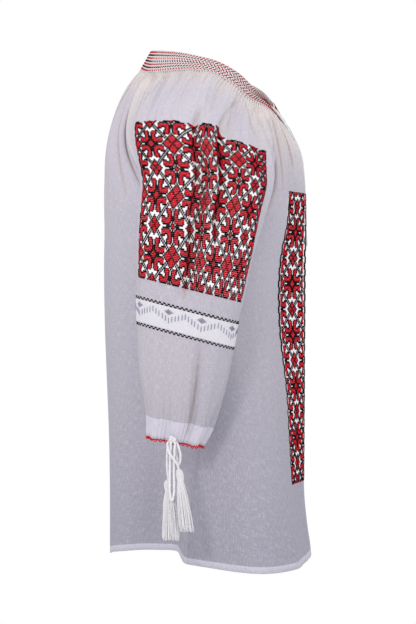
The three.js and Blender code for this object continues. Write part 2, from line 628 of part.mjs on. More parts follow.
// The cuff ties, right half: x outward. Six strands leave the knot at equal heights; `turn` is the
// direction in plan, from outward (0) to the back (90).
const cuffKnot = { centre: [276.5, 29, -466], radius: 4.5 };
const strandSlope = -35 * Math.PI / 180; // each strand leaves the knot downward at this angle
const strandClear = [0.4, 2.2]; // distances of its first two points from the knot
const strandStart = (turn) => strandClear.map((clear) => {
  const a = turn * Math.PI / 180;
  const out = Math.cos(strandSlope);
  const way = [Math.cos(a) * out, Math.sin(a) * out, Math.sin(strandSlope)];
  return add(cuffKnot.centre, way, cuffKnot.radius + clear);
});
const strandEnd = (turn) => strandStart(turn).reverse();
const cuffCords = {
  tail_front: [...strandStart(62), [283, 33.8, -475], [285.6, 31.4, -482], [285.2, 27.5, -488],
    [282.4, 23, -494.5], [279.9, 20.9, -500.8]],
  tail_back: [...strandStart(124), [274, 34.8, -480], [272.8, 35.2, -500], [272.5, 33.6, -514.2]],
  ear_long: [...strandStart(10), [281.6, 30.6, -479], [281, 31.2, -500], [281, 31.1, -531],
    [281, 28.8, -538.9], [281, 26.5, -531], [281, 26.6, -500], [281, 26, -480], ...strandEnd(-42)],
  ear_short: [...strandStart(-94), [277.4, 20.6, -477], [276.5, 18.9, -487], [275.3, 21.1, -496.5],
    [274, 23.5, -487], [273.5, 24.6, -478], ...strandEnd(-147)],
};
const cuffTassels = {
  front: { top: [279.5, 20.6, -501.5], bottom: [279, 11, -577.4], width: 18.5, thick: 13.5 },
  back: { top: [272.5, 33.5, -514.8], bottom: [272, 30.3, -588.5], width: 22.5, thick: 14 },
};
sides.forEach(({ name, handed }) => {
  addKnot(`cuff_knot_${name}`, place(cuffKnot.centre, handed), cuffKnot.radius);
  Object.entries(cuffCords).forEach(([cord, points]) => {
    addPiece(`cuff_${cord}_${name}`, cordGeometry(points.map((p) => place(p, handed))), colours.cord);
  });
  Object.entries(cuffTassels).forEach(([end, tassel]) => {
    addTassel(`cuff_tassel_${end}_${name}`, placedTassel(tassel, handed));
  });
});

// The neck tie: a cord from each end of the neckband to a knot in the slit, and two tails with
// tassels that hang in the hollow between the strips, one lower than the other.
const neckKnot = { centre: [0, -114.5, -78], radius: 3.4 };
const neckCord = [
  [20.25, -86.5, -37], [15, -93.5, -43.5], [9.5, -101.5, -54], [7, -108.5, -66], [2.85, -113.1, -75.6],
];
const neckTies = {
  right: {
    tail: [[1.9, -116.6, -81.3], [2, -121.5, -92], [2.1, -126, -105], [2.3, -128.4, -122],
      [3, -129.2, -142], [3.2, -129.4, -159.5]],
    tassel: { top: [3.2, -129.5, -160], bottom: [3.4, -130, -198], width: 7.4, thick: 7.4 },
  },
  left: {
    tail: [[1.9, -116.6, -81.3], [2, -121.5, -92], [2.1, -126, -105], [2.3, -128.4, -122],
      [3.6, -129.6, -150], [3.8, -130.3, -185.5]],
    tassel: { top: [3.8, -130.4, -186], bottom: [3.6, -130.5, -224], width: 7.4, thick: 7.4 },
  },
};
addKnot("neck_knot", place(neckKnot.centre, 1), neckKnot.radius);
sides.forEach(({ name, handed }) => {
  const { tail, tassel } = neckTies[name];
  addPiece(`neck_cord_${name}`, cordGeometry(neckCord.map((p) => place(p, handed))), colours.cord);
  addPiece(`neck_tail_${name}`, cordGeometry(tail.map((p) => place(p, handed))), colours.cord);
  addTassel(`neck_tassel_${name}`, placedTassel(tassel, handed));
});

export default blouse;
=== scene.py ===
# %% [markdown]
# # A Romanian blouse, dressed around its solids
# The solids of the blouse come from the CAD model and stay hidden behind finer pieces. The same
# table of sections gives both, so every piece here lies where its solid lies. Start by loading the
# frame.

# %% Load the frame
import bpy
import numpy as np
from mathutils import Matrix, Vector


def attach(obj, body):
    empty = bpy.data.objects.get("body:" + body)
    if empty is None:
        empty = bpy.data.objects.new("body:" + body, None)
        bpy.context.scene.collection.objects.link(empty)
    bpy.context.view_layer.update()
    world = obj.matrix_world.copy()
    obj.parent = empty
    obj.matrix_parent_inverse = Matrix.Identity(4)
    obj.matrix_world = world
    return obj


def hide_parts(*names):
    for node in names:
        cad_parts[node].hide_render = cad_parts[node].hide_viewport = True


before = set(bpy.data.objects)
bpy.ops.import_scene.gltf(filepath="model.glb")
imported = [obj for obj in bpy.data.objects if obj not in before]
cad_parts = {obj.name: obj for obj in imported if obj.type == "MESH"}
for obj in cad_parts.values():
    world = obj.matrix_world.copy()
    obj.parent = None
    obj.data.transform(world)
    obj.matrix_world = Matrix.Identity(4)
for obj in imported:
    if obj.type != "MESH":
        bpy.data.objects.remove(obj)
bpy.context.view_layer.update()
MM = 0.001
rng = np.random.default_rng(12)

# %% [markdown]
# ## Camera and light
# The blouse is seen from the wearer's right, a little to the front of square on. A long lens far
# away keeps the sleeve and the body in proportion. The main light is one soft lamp close to the
# camera, a little left and high, so that the sleeve throws a narrow shade on the body. A wide lamp
# on the front side lightens that shade, two weaker ones stand high up and on the back side, and a
# white world fills in the rest. A lamp's place is counted from the middle of the blouse: back
# towards the camera, to the camera's right, and up.

# %% Camera
CAMERA_TURN = np.radians(-87)
CAMERA_DISTANCE = 2.6
SENSOR_HEIGHT = 24
LENS = 74.07
LOOK_AT = np.array([0, 0, -0.312])
camera_back = np.array([np.sin(CAMERA_TURN), -np.cos(CAMERA_TURN), 0])


def aim(obj, place, target):
    """Puts an object at a place and turns its -Z axis to the target, with Y up."""
    obj.location = place
    obj.rotation_euler = (Vector(target) - Vector(place)).to_track_quat("-Z", "Y").to_euler()
    bpy.context.collection.objects.link(obj)
    return obj


camera_data = bpy.data.cameras.new("camera")
camera_data.sensor_fit = "VERTICAL"
camera_data.sensor_height = SENSOR_HEIGHT
camera_data.lens = LENS
camera_place = LOOK_AT + CAMERA_DISTANCE * camera_back
bpy.context.scene.camera = aim(bpy.data.objects.new("camera", camera_data), camera_place, LOOK_AT)
print("camera at", camera_place.round(3), "with a lens of", LENS, "mm")

# %% [markdown]
# Area lamps are used because their light comes from a wide place, which gives shade a soft edge:
# the larger the lamp, the softer that edge. A point lamp would be simpler, and its shade sharp.

# %% Lights
# Name; metres back, right and up from the middle of the blouse; size, power and colour.
LAMPS = [
    ("key", 2.5, -0.6, 0.75, 0.3, 17, (1, 0.96, 0.91)),
    ("front", 1.6, 2.0, 1.1, 1.4, 8.5, (1, 1, 1)),
    ("high", 0.6, 0, 2.2, 1.2, 4, (1, 0.98, 0.95)),
    ("back", 1.2, -1.9, 0.4, 1.0, 3, (1, 1, 1)),
]
camera_right = np.cross(-camera_back, [0, 0, 1])
for name, back, right, up, size, power, colour in LAMPS:
    data = bpy.data.lights.new(name, "AREA")
    data.size = size
    data.energy = power
    data.color = colour
    place = LOOK_AT + back * camera_back + right * camera_right + np.array([0, 0, up])
    aim(bpy.data.objects.new(name, data), place, LOOK_AT)

world = bpy.data.worlds.new("pale_room")
world.use_nodes = True
world.node_tree.nodes["Background"].inputs["Color"].default_value = (1.0, 1.0, 1.0, 1)
world.node_tree.nodes["Background"].inputs["Strength"].default_value = 1.0
bpy.context.scene.world = world
bpy.context.scene.view_settings.view_transform = "Standard"
print("lamps:", [lamp[0] for lamp in LAMPS])

# %% [markdown]
# ## Curves and tables
# The blouse is given by sections: the neckband by points along half of it, the body by its outline at
# seven heights, the sleeve by seven tilted rings. Between them a smooth cubic curve runs. These are
# the sizes of the CAD model, in millimetres, worked out again for a grid as fine as cloth needs. Only
# the neckband has one point more here, a mirrored one past centre back, to be round there.

# %% Sizes and sections
CLOTH = dict(neck_turn=-7, turn_top=-60, turn_end=-165, slit_half=22, slit_end_row=6,
             front_gather=58, back_gather=70)
UNDERARM = np.array([205.0, -10.0, -196.0])
YOKE_ROWS = 8
SEAM_COLUMNS = 8
CROWN_COLUMNS = 16
SLEEVE_COLUMNS = 2 * SEAM_COLUMNS + CROWN_COLUMNS
FRONT_EDGE = SEAM_COLUMNS + CROWN_COLUMNS
SHOULDER_COLUMN = 16
EDGE_SHARE = 0.235
STRIP_STATIONS = [0, 14, 33, 52, 71, 90]
FRONT_COLUMNS = 9
BACK_COLUMNS = 8
BODY_ROWS = [-196, -228, -275, -330, -385, -436, -487, -537, -590, -638]
SLEEVE_PLACES = [0, 1, 2.15, 2.85, 3.5, 4, 4.5, 5, 6]

# along, top x y z, low x y z
NECK = np.array([
    [0, 22, -86, -38, 22, -102, -60],
    [29, 38, -84, -31, 49, -95, -49],
    [58, 60, -80, -25, 75, -86, -42],
    [88, 84, -73, -18, 101, -72, -36],
    [118, 102, -58, -3, 121, -55, -20],
    [150, 114, -33, 11, 132, -30, -6],
    [182, 113, -6, 19, 128, -4, -1],
    [222, 101, 19, 26, 110, 26, 1],
    [262, 80, 41, 31, 85, 54, 2],
    [300, 50, 61, 36, 53, 74, 6],
    [358, 0, 76, 41, 0, 91, 16],
    [416, -50, 61, 36, -53, 74, 6],
], float)
NECK_HALF = 358

# z, front y, strip x y, corner x y, side x y, seam x y, hollow x y, back x y, mid back y
BODY = np.array([
    [-196, -132.5, 86, -107, 150, -97, 192, -52, 205, -10, 194, 48, 130, 116, 136],
    [-262, -132.5, 84, -98, 138, -80, 178, -42, 195, -6, 185, 46, 124, 116, 137],
    [-335, -132.5, 84, -98.5, 138, -78, 177, -42, 193, -4, 172, 46, 118, 115, 136],
    [-410, -131.4, 86, -106, 143, -88, 182, -48, 191, -3, 155, 46, 112, 113, 133],
    [-480, -130, 87, -110, 148, -96, 190, -54, 185, 0, 138, 46, 106, 112, 130],
    [-560, -130, 88, -116, 155, -106, 202, -62, 172, 12, 118, 42, 100, 111, 129],
    [-638, -138.7, 89, -131, 162, -117, 212, -72, 152, 18, 106, 40, 94, 112, 129],
], float)
HEM_LIFT = dict(front=0, seam=5, hollow=17, back=2)

# place, back z y, front z y, inner x, outer x
SLEEVE = np.array([
    [0, -226, 74, -246, -67.5, 213, 290],
    [1, -269, 74, -301, -56, 214, 290],
    [2, -291, 74, -323, -50, 214, 288],
    [3, -327, 73, -358, -44, 215, 285],
    [4, -388, 70, -407, -34, 215, 281],
    [5, -437, 61, -452, -18, 216, 273],
    [6, -464, 60, -475, -5, 217, 268],
], float)
print("sections of the neck, the body and the sleeve:", len(NECK), len(BODY), len(SLEEVE))

# %% Curve helpers
def between(table, at, columns):
    """A cubic through the rows of a table: each value passes through its rows with the slope of
    the line between the neighbouring rows."""
    keys = table[:, 0]
    at = np.asarray(at, float)
    order = np.sign(keys[1] - keys[0])
    i = np.clip(np.searchsorted(keys * order, at * order, side="left") - 1, 0, len(keys) - 2)
    before, after = np.maximum(i - 1, 0), np.minimum(i + 2, len(keys) - 1)
    span = keys[i + 1] - keys[i]
    t = np.clip((at - keys[i]) / span, 0, 1)[..., None]
    value = table[:, columns]
    m0 = (value[i + 1] - value[before]) * (span / (keys[i + 1] - keys[before]))[..., None]
    m1 = (value[after] - value[i]) * (span / (keys[after] - keys[i]))[..., None]
    t2, t3 = t**2, t**3
    from_start, from_end = 2 * t3 - 3 * t2 + 1, 3 * t2 - 2 * t3
    return from_start * value[i] + (t3 - 2 * t2 + t) * m0 + from_end * value[i + 1] + (t3 - t2) * m1


def bezier(p0, p1, p2, p3, t):
    """A cubic Bezier curve: the four control points weighed by the powers of t and 1 - t."""
    t = np.asarray(t, float)[..., None]
    s = 1 - t
    return s**3 * p0 + 3 * s * s * t * p1 + 3 * s * t * t * p2 + t**3 * p3


def through(points, samples):
    """A centripetal Catmull-Rom curve through points, given at evenly spaced parameters from the
    first point (0) to the last (1). Points may have leading axes for several curves at once."""
    points = np.asarray(points, float)
    first = 2 * points[..., :1, :] - points[..., 1:2, :]
    last = 2 * points[..., -1:, :] - points[..., -2:-1, :]
    p = np.concatenate([first, points, last], axis=-2)
    place = np.clip(np.asarray(samples) * (points.shape[-2] - 1), 0, points.shape[-2] - 1 - 1e-9)
    i = place.astype(int)
    w = (place - i)[..., None]
    x0, x1, x2, x3 = (p[..., i + k, :] for k in range(4))
    pairs = ((x0, x1), (x1, x2), (x2, x3))
    d0, d1, d2 = (np.sqrt(np.linalg.norm(b - a, axis=-1, keepdims=True)) for a, b in pairs)
    t1 = ((x1 - x0) / d0 - (x2 - x0) / (d0 + d1) + (x2 - x1) / d1) * d1
    t2 = ((x2 - x1) / d1 - (x3 - x1) / (d1 + d2) + (x3 - x2) / d2) * d1
    return x1 + t1 * w + (-3 * x1 + 3 * x2 - 2 * t1 - t2) * w**2 + (2 * x1 - 2 * x2 + t1 + t2) * w**3


def runs(line):
    """The length along a line, from 0 at its first point."""
    steps = np.linalg.norm(np.diff(line, axis=-2), axis=-1)
    return np.concatenate([np.zeros(steps.shape[:-1] + (1,)), np.cumsum(steps, axis=-1)], axis=-1)


def at_shares(line, shares):
    """Points at the given shares of the length of a line."""
    run = runs(line)
    return np.stack([np.interp(shares * run[-1], run, line[:, k]) for k in range(line.shape[-1])], axis=-1)


def smooth(t):
    """0 below 0, 1 above 1, and between them three times t squared less twice t cubed."""
    t = np.clip(t, 0, 1)
    return t * t * (3 - 2 * t)


def bell(t, width):
    """A hump of height 1 at t = 0: e to the power of minus the square of t over the width."""
    return np.exp(-((t / width) ** 2))


def neck_low(along):
    """The neckband's lower edge, by the distance along half of the band from its open end."""
    return between(NECK, along, [4, 5, 6])


def neck_top(along):
    """The neckband's top edge, by the same distance."""
    return between(NECK, along, [1, 2, 3])


print("centre back of the neckband, top and low:", neck_top([NECK_HALF])[0], neck_low([NECK_HALF])[0])

# %% [markdown]
# ## Cords first
# Two twisted cords end in tassels at each cuff, with the two ears of their bow, and a third tie
# closes the slit at the neck. A cord is fixed in length and hangs from its knot, so its route comes
# before anything is dressed. Each route is a smooth curve through a few points; the tube around it
# has three lobes that wind along it, which is what a twisted cord looks like.

# %% Routes of the cords
CORD_THICK = 3.0
CUFF_KNOT = np.array([276.5, 29, -466])
CUFF_KNOT_RADIUS = 4.5
NECK_KNOT = np.array([0, -114.5, -78])
NECK_KNOT_RADIUS = 3.4


def strand_start(turn):
    """Two points straight out of the knot, at a turn in plan and a slope downward."""
    a = np.radians(turn)
    slope = np.radians(-35)
    way = np.array([np.cos(a) * np.cos(slope), np.sin(a) * np.cos(slope), np.sin(slope)])
    return [list(CUFF_KNOT + way * (CUFF_KNOT_RADIUS + clear)) for clear in (0.4, 2.2)]


CUFF_TASSELS = {
    "front": dict(top=[279.5, 20.6, -501.5], bottom=[279, 11, -577.4], width=18.5, thick=13.5),
    "back": dict(top=[272.5, 33.5, -514.8], bottom=[272, 30.3, -588.5], width=22.5, thick=14),
}
NECK_TASSELS = {
    "right": dict(top=[3.2, -129.5, -160], bottom=[3.4, -130, -198], width=7.4, thick=7.4),
    "left": dict(top=[3.8, -130.4, -186], bottom=[3.6, -130.5, -224], width=7.4, thick=7.4),
}
CUFF_CORDS = {
    "tail_front": [
        *strand_start(62), [283, 33.8, -475], [285.6, 31.4, -482], [285.2, 27.5, -488],
        [282.4, 23, -494.5], [279.9, 20.9, -500.8],
    ],
    "tail_back": [*strand_start(124), [274, 34.8, -480], [272.8, 35.2, -500], [272.5, 33.6, -514.2]],
    "ear_long": [
        *strand_start(10), [281.6, 30.6, -479], [281, 31.2, -500], [281, 31.1, -531], [281, 28.8, -538.9],
        [281, 26.5, -531], [281, 26.6, -500], [281, 26, -480], *strand_start(-42)[::-1],
    ],
    "ear_short": [
        *strand_start(-94), [277.4, 20.6, -477], [276.5, 18.9, -487], [275.3, 21.1, -496.5],
        [274, 23.5, -487], [273.5, 24.6, -478], *strand_start(-147)[::-1],
    ],
}
NECK_CORD = [
    [20.25, -86.5, -37], [15, -93.5, -43.5], [9.5, -101.5, -54], [7, -108.5, -66], [2.85, -113.1, -75.6],
]
NECK_TAIL_START = [[1.9, -116.6, -81.3], [2, -121.5, -92], [2.1, -126, -105], [2.3, -128.4, -122]]
NECK_TAILS = {
    "right": [*NECK_TAIL_START, [3, -129.2, -142], [3.2, -129.4, -159.5]],
    "left": [*NECK_TAIL_START, [3.6, -129.6, -150], [3.8, -130.3, -185.5]],
}
SIDES = {"right": -1, "left": 1}
# The length that each cord is cut to, in millimetres; a tail's last 20 are inside its tassel.
CORD_CUTS = {"cuff_tail_front": 60, "cuff_tail_back": 67, "cuff_ear_long": 143, "cuff_ear_short": 59,
             "neck_cord": 51, "neck_tail_right": 102, "neck_tail_left": 128}


def placed(p, handed):
    """From millimetres on the left half to metres on the whole blouse: mirrored in x for the right
    side and turned about z with the neckline, fully at the top and not at all below the chest."""
    p = np.asarray(p, float)
    share = smooth((p[..., 2] - CLOTH["turn_end"]) / (CLOTH["turn_top"] - CLOTH["turn_end"]))
    turn = np.radians(CLOTH["neck_turn"]) * share
    cos, sin = np.cos(turn), np.sin(turn)
    x, y = p[..., 0] * handed, p[..., 1]
    return np.stack([x * cos - y * sin, x * sin + y * cos, p[..., 2]], -1) * MM


print("points on each route:", {name: len(points) for name, points in CUFF_CORDS.items()})

# %% [markdown]
# ## Mesh and material helpers
# Every new piece is a grid of points worked out with numpy and put into a mesh in one go. A piece
# also carries numbers for its material: a UV map in metres along the threads of the cloth, and
# named values such as how gathered or how creased the cloth is.

# %% Mesh helpers
def mesh_piece(name, points, faces, uv=None, values=None, smooth_faces=True):
    """Makes an object from points and faces. uv gives one pair for each point, and values gives
    named numbers, one for each point."""
    mesh = bpy.data.meshes.new(name)
    faces = faces.tolist() if isinstance(faces, np.ndarray) else faces
    mesh.from_pydata(np.asarray(points, float).tolist(), [], faces)
    if uv is not None:
        layer = mesh.uv_layers.new(name="cloth")
        corner = np.empty(len(mesh.loops), int)
        mesh.loops.foreach_get("vertex_index", corner)
        layer.data.foreach_set("uv", np.asarray(uv, float)[corner].ravel())
    for key, value in (values or {}).items():
        attribute = mesh.attributes.new(key, "FLOAT", "POINT")
        attribute.data.foreach_set("value", np.asarray(value, float).ravel())
    mesh.polygons.foreach_set("use_smooth", np.full(len(mesh.polygons), smooth_faces))
    mesh.update()
    obj = bpy.data.objects.new(name, mesh)
    bpy.context.collection.objects.link(obj)
    return obj


def grid_faces(rows, columns, wrap=False, flip=False):
    """Quads of a grid of points, row by row. wrap joins the last column to the first."""
    r = np.arange(rows - 1)[:, None]
    c = np.arange(columns if wrap else columns - 1)[None, :]
    n = (c + 1) % columns
    above, below = r * columns, (r + 1) * columns
    quads = np.stack([above + c, below + c, below + n, above + n], -1).reshape(-1, 4)
    return quads[:, ::-1] if flip else quads


def grid_normals(points, flip=False):
    """Unit normals of a grid: the cross product of its steps down and across."""
    normal = np.cross(np.gradient(points, axis=0), np.gradient(points, axis=1))
    normal /= np.maximum(np.linalg.norm(normal, axis=-1, keepdims=True), 1e-12)
    return -normal if flip else normal


def tube(path, radius, sides=12, lobes=0, twist=0, lobe_depth=0.0, across=(1, 0, 0)):
    """Rings around a path in metres. The radius dips by lobe_depth between the lobes, which turn
    by twist radians for each metre. The ends are closed by a point each."""
    tangent = np.gradient(path, axis=0)
    tangent /= np.linalg.norm(tangent, axis=1, keepdims=True)
    side = np.asarray(across, float) - tangent * (tangent @ np.asarray(across, float))[:, None]
    side /= np.linalg.norm(side, axis=1, keepdims=True)
    up = np.cross(tangent, side)
    angle = np.linspace(0, 2 * np.pi, sides, endpoint=False)[None, :]
    run = runs(path)[:, None]
    dip = 1 + 0 * angle
    if lobes:
        dip = 1 - lobe_depth * (1 - np.abs(np.cos(0.5 * (lobes * angle - twist * run))))
    r = (np.asarray(radius)[..., None] * dip)[..., None]
    outward = np.cos(angle)[..., None] * side[:, None, :] + np.sin(angle)[..., None] * up[:, None, :]
    rings = path[:, None, :] + r * outward
    n = len(path)
    points = np.concatenate([rings.reshape(-1, 3), path[:1], path[-1:]])
    body = grid_faces(n, sides, wrap=True, flip=True)
    k = np.arange(sides)
    nxt = (k + 1) % sides
    start = np.stack([np.full(sides, n * sides), nxt, k], -1)
    end = np.stack([np.full(sides, n * sides + 1), (n - 1) * sides + k, (n - 1) * sides + nxt], -1)
    return points, body, np.concatenate([start, end])


def join_parts(parts):
    """Many (points, quads, triangles) put together as one list of points and one of faces."""
    points, faces, offset = [], [], 0
    for part in parts:
        points.append(part[0])
        for block in part[1:]:
            faces.extend((np.asarray(block) + offset).tolist())
        offset += len(part[0])
    return np.concatenate(points), faces


print("faces of a grid of 3 by 4 points:", len(grid_faces(3, 4)))

# %% [markdown]
# ## Materials
# A small class turns a socket into something that can be added and multiplied, so that the shader
# maths reads as a formula. The voile is a thin, slightly slubbed cotton: the slubs are noise drawn
# out along each thread direction, which is why the cloth needs a UV map in metres. How gathered,
# hemmed or creased the cloth is comes with each point of the mesh.

# %% Shader helpers
class Value:
    """A number socket. Adding, taking away or multiplying adds a Math node and gives its socket."""

    def __init__(self, shader, socket):
        self.shader, self.socket = shader, socket

    def _math(self, operation, *others):
        inputs = {k: v for k, v in enumerate(others)}
        return self.shader.node("ShaderNodeMath", {"operation": operation}, inputs, 0)

    def __add__(self, other):
        return self._math("ADD", self, other)

    def __mul__(self, other):
        return self._math("MULTIPLY", self, other)

    def __sub__(self, other):
        return self._math("SUBTRACT", self, other)

    def __rsub__(self, other):
        return self._math("SUBTRACT", other, self)

    __radd__ = __add__
    __rmul__ = __mul__

    def clamped(self):
        """The number, or 0 where it is less and 1 where it is more."""
        return self._math("MINIMUM", self._math("MAXIMUM", self, 0.0), 1.0)


class Shader:
    """The node tree of one material."""

    def __init__(self, name):
        self.material = bpy.data.materials.new(name)
        self.material.use_nodes = True
        self.tree = self.material.node_tree
        self.surface = self.tree.nodes["Principled BSDF"]

    def node(self, kind, settings, inputs, output):
        """Adds a node, sets its settings, fills its sockets and returns one of its outputs."""
        made = self.tree.nodes.new(kind)
        for key, value in settings.items():
            setattr(made, key, value)
        for key, value in inputs.items():
            self.fill(made.inputs[key], value)
        return Value(self, made.outputs[output])

    def fill(self, socket, value):
        """Links a Value to a socket, or writes a plain number, colour or vector into it."""
        if isinstance(value, Value):
            self.tree.links.new(value.socket, socket)
        else:
            socket.default_value = value

    def set(self, **values):
        """Fills sockets of the surface; an underscore stands for a space in a socket's name."""
        for key, value in values.items():
            self.fill(self.surface.inputs[key.replace("_", " ")], value)
        return self.material

    def attribute(self, name):
        """A named number that the mesh holds for each point."""
        return self.node("ShaderNodeAttribute", {"attribute_name": name}, {}, "Fac")

    def noise(self, vector, scale, detail=2.0):
        """Cloudy numbers around a half; the larger the scale, the finer the clouds."""
        return self.node("ShaderNodeTexNoise", {}, {"Vector": vector, "Scale": scale, "Detail": detail}, 0)

    def mapped(self, vector, scale):
        """A place with each of its directions stretched by its own factor."""
        return self.node("ShaderNodeMapping", {}, {"Vector": vector, "Scale": scale}, 0)

    def blend(self, factor, a, b):
        """A colour between a and b."""
        return self.node("ShaderNodeMix", {"data_type": "RGBA"}, {0: factor, 6: a, 7: b}, 2)

    def bump(self, height, strength, distance):
        """Tilts the surface as if it were raised by the height times the distance, in metres."""
        inputs = {"Height": height, "Strength": strength, "Distance": distance}
        return self.node("ShaderNodeBump", {}, inputs, 0)


# %% [markdown]
# Real voile is see-through, and light passing through it could be rendered. Painting that look as
# tone, from the values on the mesh, is steadier and quicker, and it can be baked. Shade lower down
# and in creases, and a highlight on the lower sleeve, are painted the same way. The cotton threads
# share one function: two close colours, mixed by fine noise, with painted shade in a fold.

# %% Finishes
LILAC = (0.47, 0.445, 0.51, 1)
# Cream of gathered cloth, also painted as a highlight on the lower sleeve.
CREAM = (0.6, 0.55, 0.545, 1)
# The grey of painted shade lower down; the thin line at a hem's top edge uses it too.
SHADE = (0.28, 0.27, 0.335, 1)
DOUBLE = (0.53, 0.51, 0.6, 1)
# Tan painted shade at the bottom of a crease.
CREASE_PAINTED_SHADE = (0.36, 0.27, 0.2, 1)
WORKED = (0.82, 0.8, 0.84, 1)
SLUB_DARK = (0.2, 0.19, 0.26, 1)
SLUB_LIGHT = (0.9, 0.88, 0.95, 1)


def cloth_finish():
    """Voile is thin, so one layer looks lilac grey from what lies behind it, and painted shade makes
    it greyer lower down. It is cream where it gathers, with a painted highlight on the lower
    sleeve, pale where it lies double at a hem, white where it is worked with stitches, and
    painted tan shade at the bottom of a crease. Thick and thin threads run both ways."""
    s = Shader("voile")
    uv = s.node("ShaderNodeUVMap", {"uv_map": "cloth"}, {}, 0)
    place = s.node("ShaderNodeTexCoord", {}, {}, "Object")
    height = s.node("ShaderNodeSeparateXYZ", {}, {0: place}, 2)
    # Painted shade: the cloth is painted greyer towards the bottom, where less light falls.
    low = ((height + 0.05) * -1.8).clamped()
    colour = s.blend(low, LILAC, SHADE)
    colour = s.blend(s.attribute("gathered_and_painted_highlight"), colour, CREAM)
    hemmed = s.attribute("hemmed")
    colour = s.blend((hemmed * 1.5).clamped() * 0.85, colour, DOUBLE)
    colour = s.blend((1.0 - hemmed * hemmed).clamped() * 0.35, colour, SHADE)
    colour = s.blend(s.attribute("worked"), colour, WORKED)
    # Painted shade: the bottom of a crease is painted tan.
    colour = s.blend(s.attribute("crease").clamped() * 0.65, colour, CREASE_PAINTED_SHADE)
    down = s.noise(s.mapped(uv, (1300, 130, 1)), 1.0)
    across = s.noise(s.mapped(uv, (130, 1300, 1)), 1.0)
    thick = ((down - 0.52) * 4.0).clamped() + ((across - 0.52) * 4.0).clamped()
    thin = ((0.48 - down) * 4.0).clamped() + ((0.48 - across) * 4.0).clamped()
    colour = s.blend(thick.clamped() * 0.22, colour, SLUB_DARK)
    colour = s.blend(thin.clamped() * 0.2, colour, SLUB_LIGHT)
    return s.set(Base_Color=colour, Roughness=0.9, Normal=s.bump(down + across, 0.3, 0.0004))


def thread_finish(name, dark, light, roughness=0.75, gloss=0.3):
    """Cotton thread whose colour varies a little from stitch to stitch, with painted shade in a fold."""
    s = Shader(name)
    place = s.node("ShaderNodeTexCoord", {}, {}, "Object")
    mask = ((s.noise(place, 900.0) - 0.3) * 2.0).clamped()
    colour = s.blend(mask, dark, light)
    fold_painted_shade = tuple(c * 0.3 for c in dark[:3]) + (1,)
    # Painted shade: a thread deep in a fold is painted darker.
    colour = s.blend(s.attribute("crease").clamped() * 0.5, colour, fold_painted_shade)
    return s.set(Base_Color=colour, Roughness=roughness, Specular_IOR_Level=gloss)


VOILE = cloth_finish()
RED = thread_finish("red_cotton", (0.36, 0.006, 0.014, 1), (0.6, 0.008, 0.022, 1), 0.8, 0.08)
BLACK = thread_finish("black_cotton", (0.004, 0.003, 0.005, 1), (0.012, 0.01, 0.012, 1), 0.9, 0.04)
WHITE = thread_finish("white_satin_thread", (0.52, 0.51, 0.57, 1), (0.66, 0.65, 0.7, 1), 0.4)
# The satin bars: the satin thread painted darker, as painted shade.
SATIN_PAINTED_SHADE = thread_finish("satin_thread_in_painted_shade", (0.2, 0.19, 0.27, 1), (0.32, 0.3, 0.39, 1), 0.4)
CORD = thread_finish("white_cord", (0.58, 0.57, 0.61, 1), (0.78, 0.77, 0.8, 1), 0.7)
print("finishes:", [finish.name for finish in (VOILE, RED, BLACK, WHITE, SATIN_PAINTED_SHADE, CORD)])


def finished(obj, finish, nodes=()):
    """Gives a piece its finish and its body, and hides the solids it stands for."""
    obj.data.materials.append(finish)
    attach(obj, "root")
    if nodes:
        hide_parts(*nodes)
    return obj


# %% [markdown]
# ## The cuff ties and the neck tie
# Each tail hangs from its knot into the head of a tassel. The tube's centreline goes on some way
# inside the tassel, as the real cord does where the threads are tied over it.

# %% Cords, knots and tassels
# Radians for each metre: one turn in 9 mm.
CORD_TWIST = 2 * np.pi / 0.009
CORD_SIDES = 15
CORD_LOBES = 3
# A cord's radius on a lobe, as a share of its thickness, and how far it dips between two lobes.
LOBE_RADIUS = 0.54
LOBE_DEPTH = 0.28
ROUTE_SAMPLES = 160
# Metres between two rings of a cord.
RING_STEP = 0.0009
# Millimetres that a tail runs on inside its tassel.
TAIL_INSIDE = 20.0
KNOT_RINGS = 97
# A tassel's outline: shares of its length from the top, and of its half width there.
TASSEL_DOWN = [0, 0.06, 0.14, 0.17, 0.2, 0.4, 0.7, 1]
TASSEL_SPREAD = [0.2, 0.5, 0.46, 0.33, 0.4, 0.66, 0.84, 0.92]
TASSEL_RINGS = 22
GOLDEN_ANGLE = 2.399963
WINDING_RINGS = 90


def cord_piece(name, points, node):
    """A three-lobed tube along the smooth curve through the points; gives its cut and drawn lengths."""
    path = through(points, np.linspace(0, 1, ROUTE_SAMPLES))
    drawn = float(runs(path)[-1])
    cut = CORD_CUTS[node if node in CORD_CUTS else node.rsplit("_", 1)[0]] * MM
    steps = int(drawn / RING_STEP)
    path = at_shares(path, np.linspace(0, 1, steps))
    thick = CORD_THICK * MM
    radius = np.full(steps, thick * LOBE_RADIUS)
    ring = tube(path, radius, CORD_SIDES, CORD_LOBES, CORD_TWIST, LOBE_DEPTH)
    obj = mesh_piece(name, *join_parts([ring]))
    finished(obj, CORD, [node])
    return cut, drawn


def knot_piece(name, centre, radius, node):
    """A trefoil: at angle t the cord lies at cos t - 2 cos 2t and sin t + 2 sin 2t across, and at
    -1.2 sin 3t deep, which brings it over itself three times."""
    t = np.linspace(0, 2 * np.pi, KNOT_RINGS)
    y, z = np.cos(t) - 2 * np.cos(2 * t), np.sin(t) + 2 * np.sin(2 * t)
    path = centre + np.stack([-1.2 * np.sin(3 * t), y, z], 1) / 3 * (radius - 1.1) * MM
    ring = tube(path, np.full(KNOT_RINGS, radius * 0.38 * MM), 10, across=(0.3, 0.2, 1))
    return finished(mesh_piece(name, *join_parts([ring])), CORD, [node])


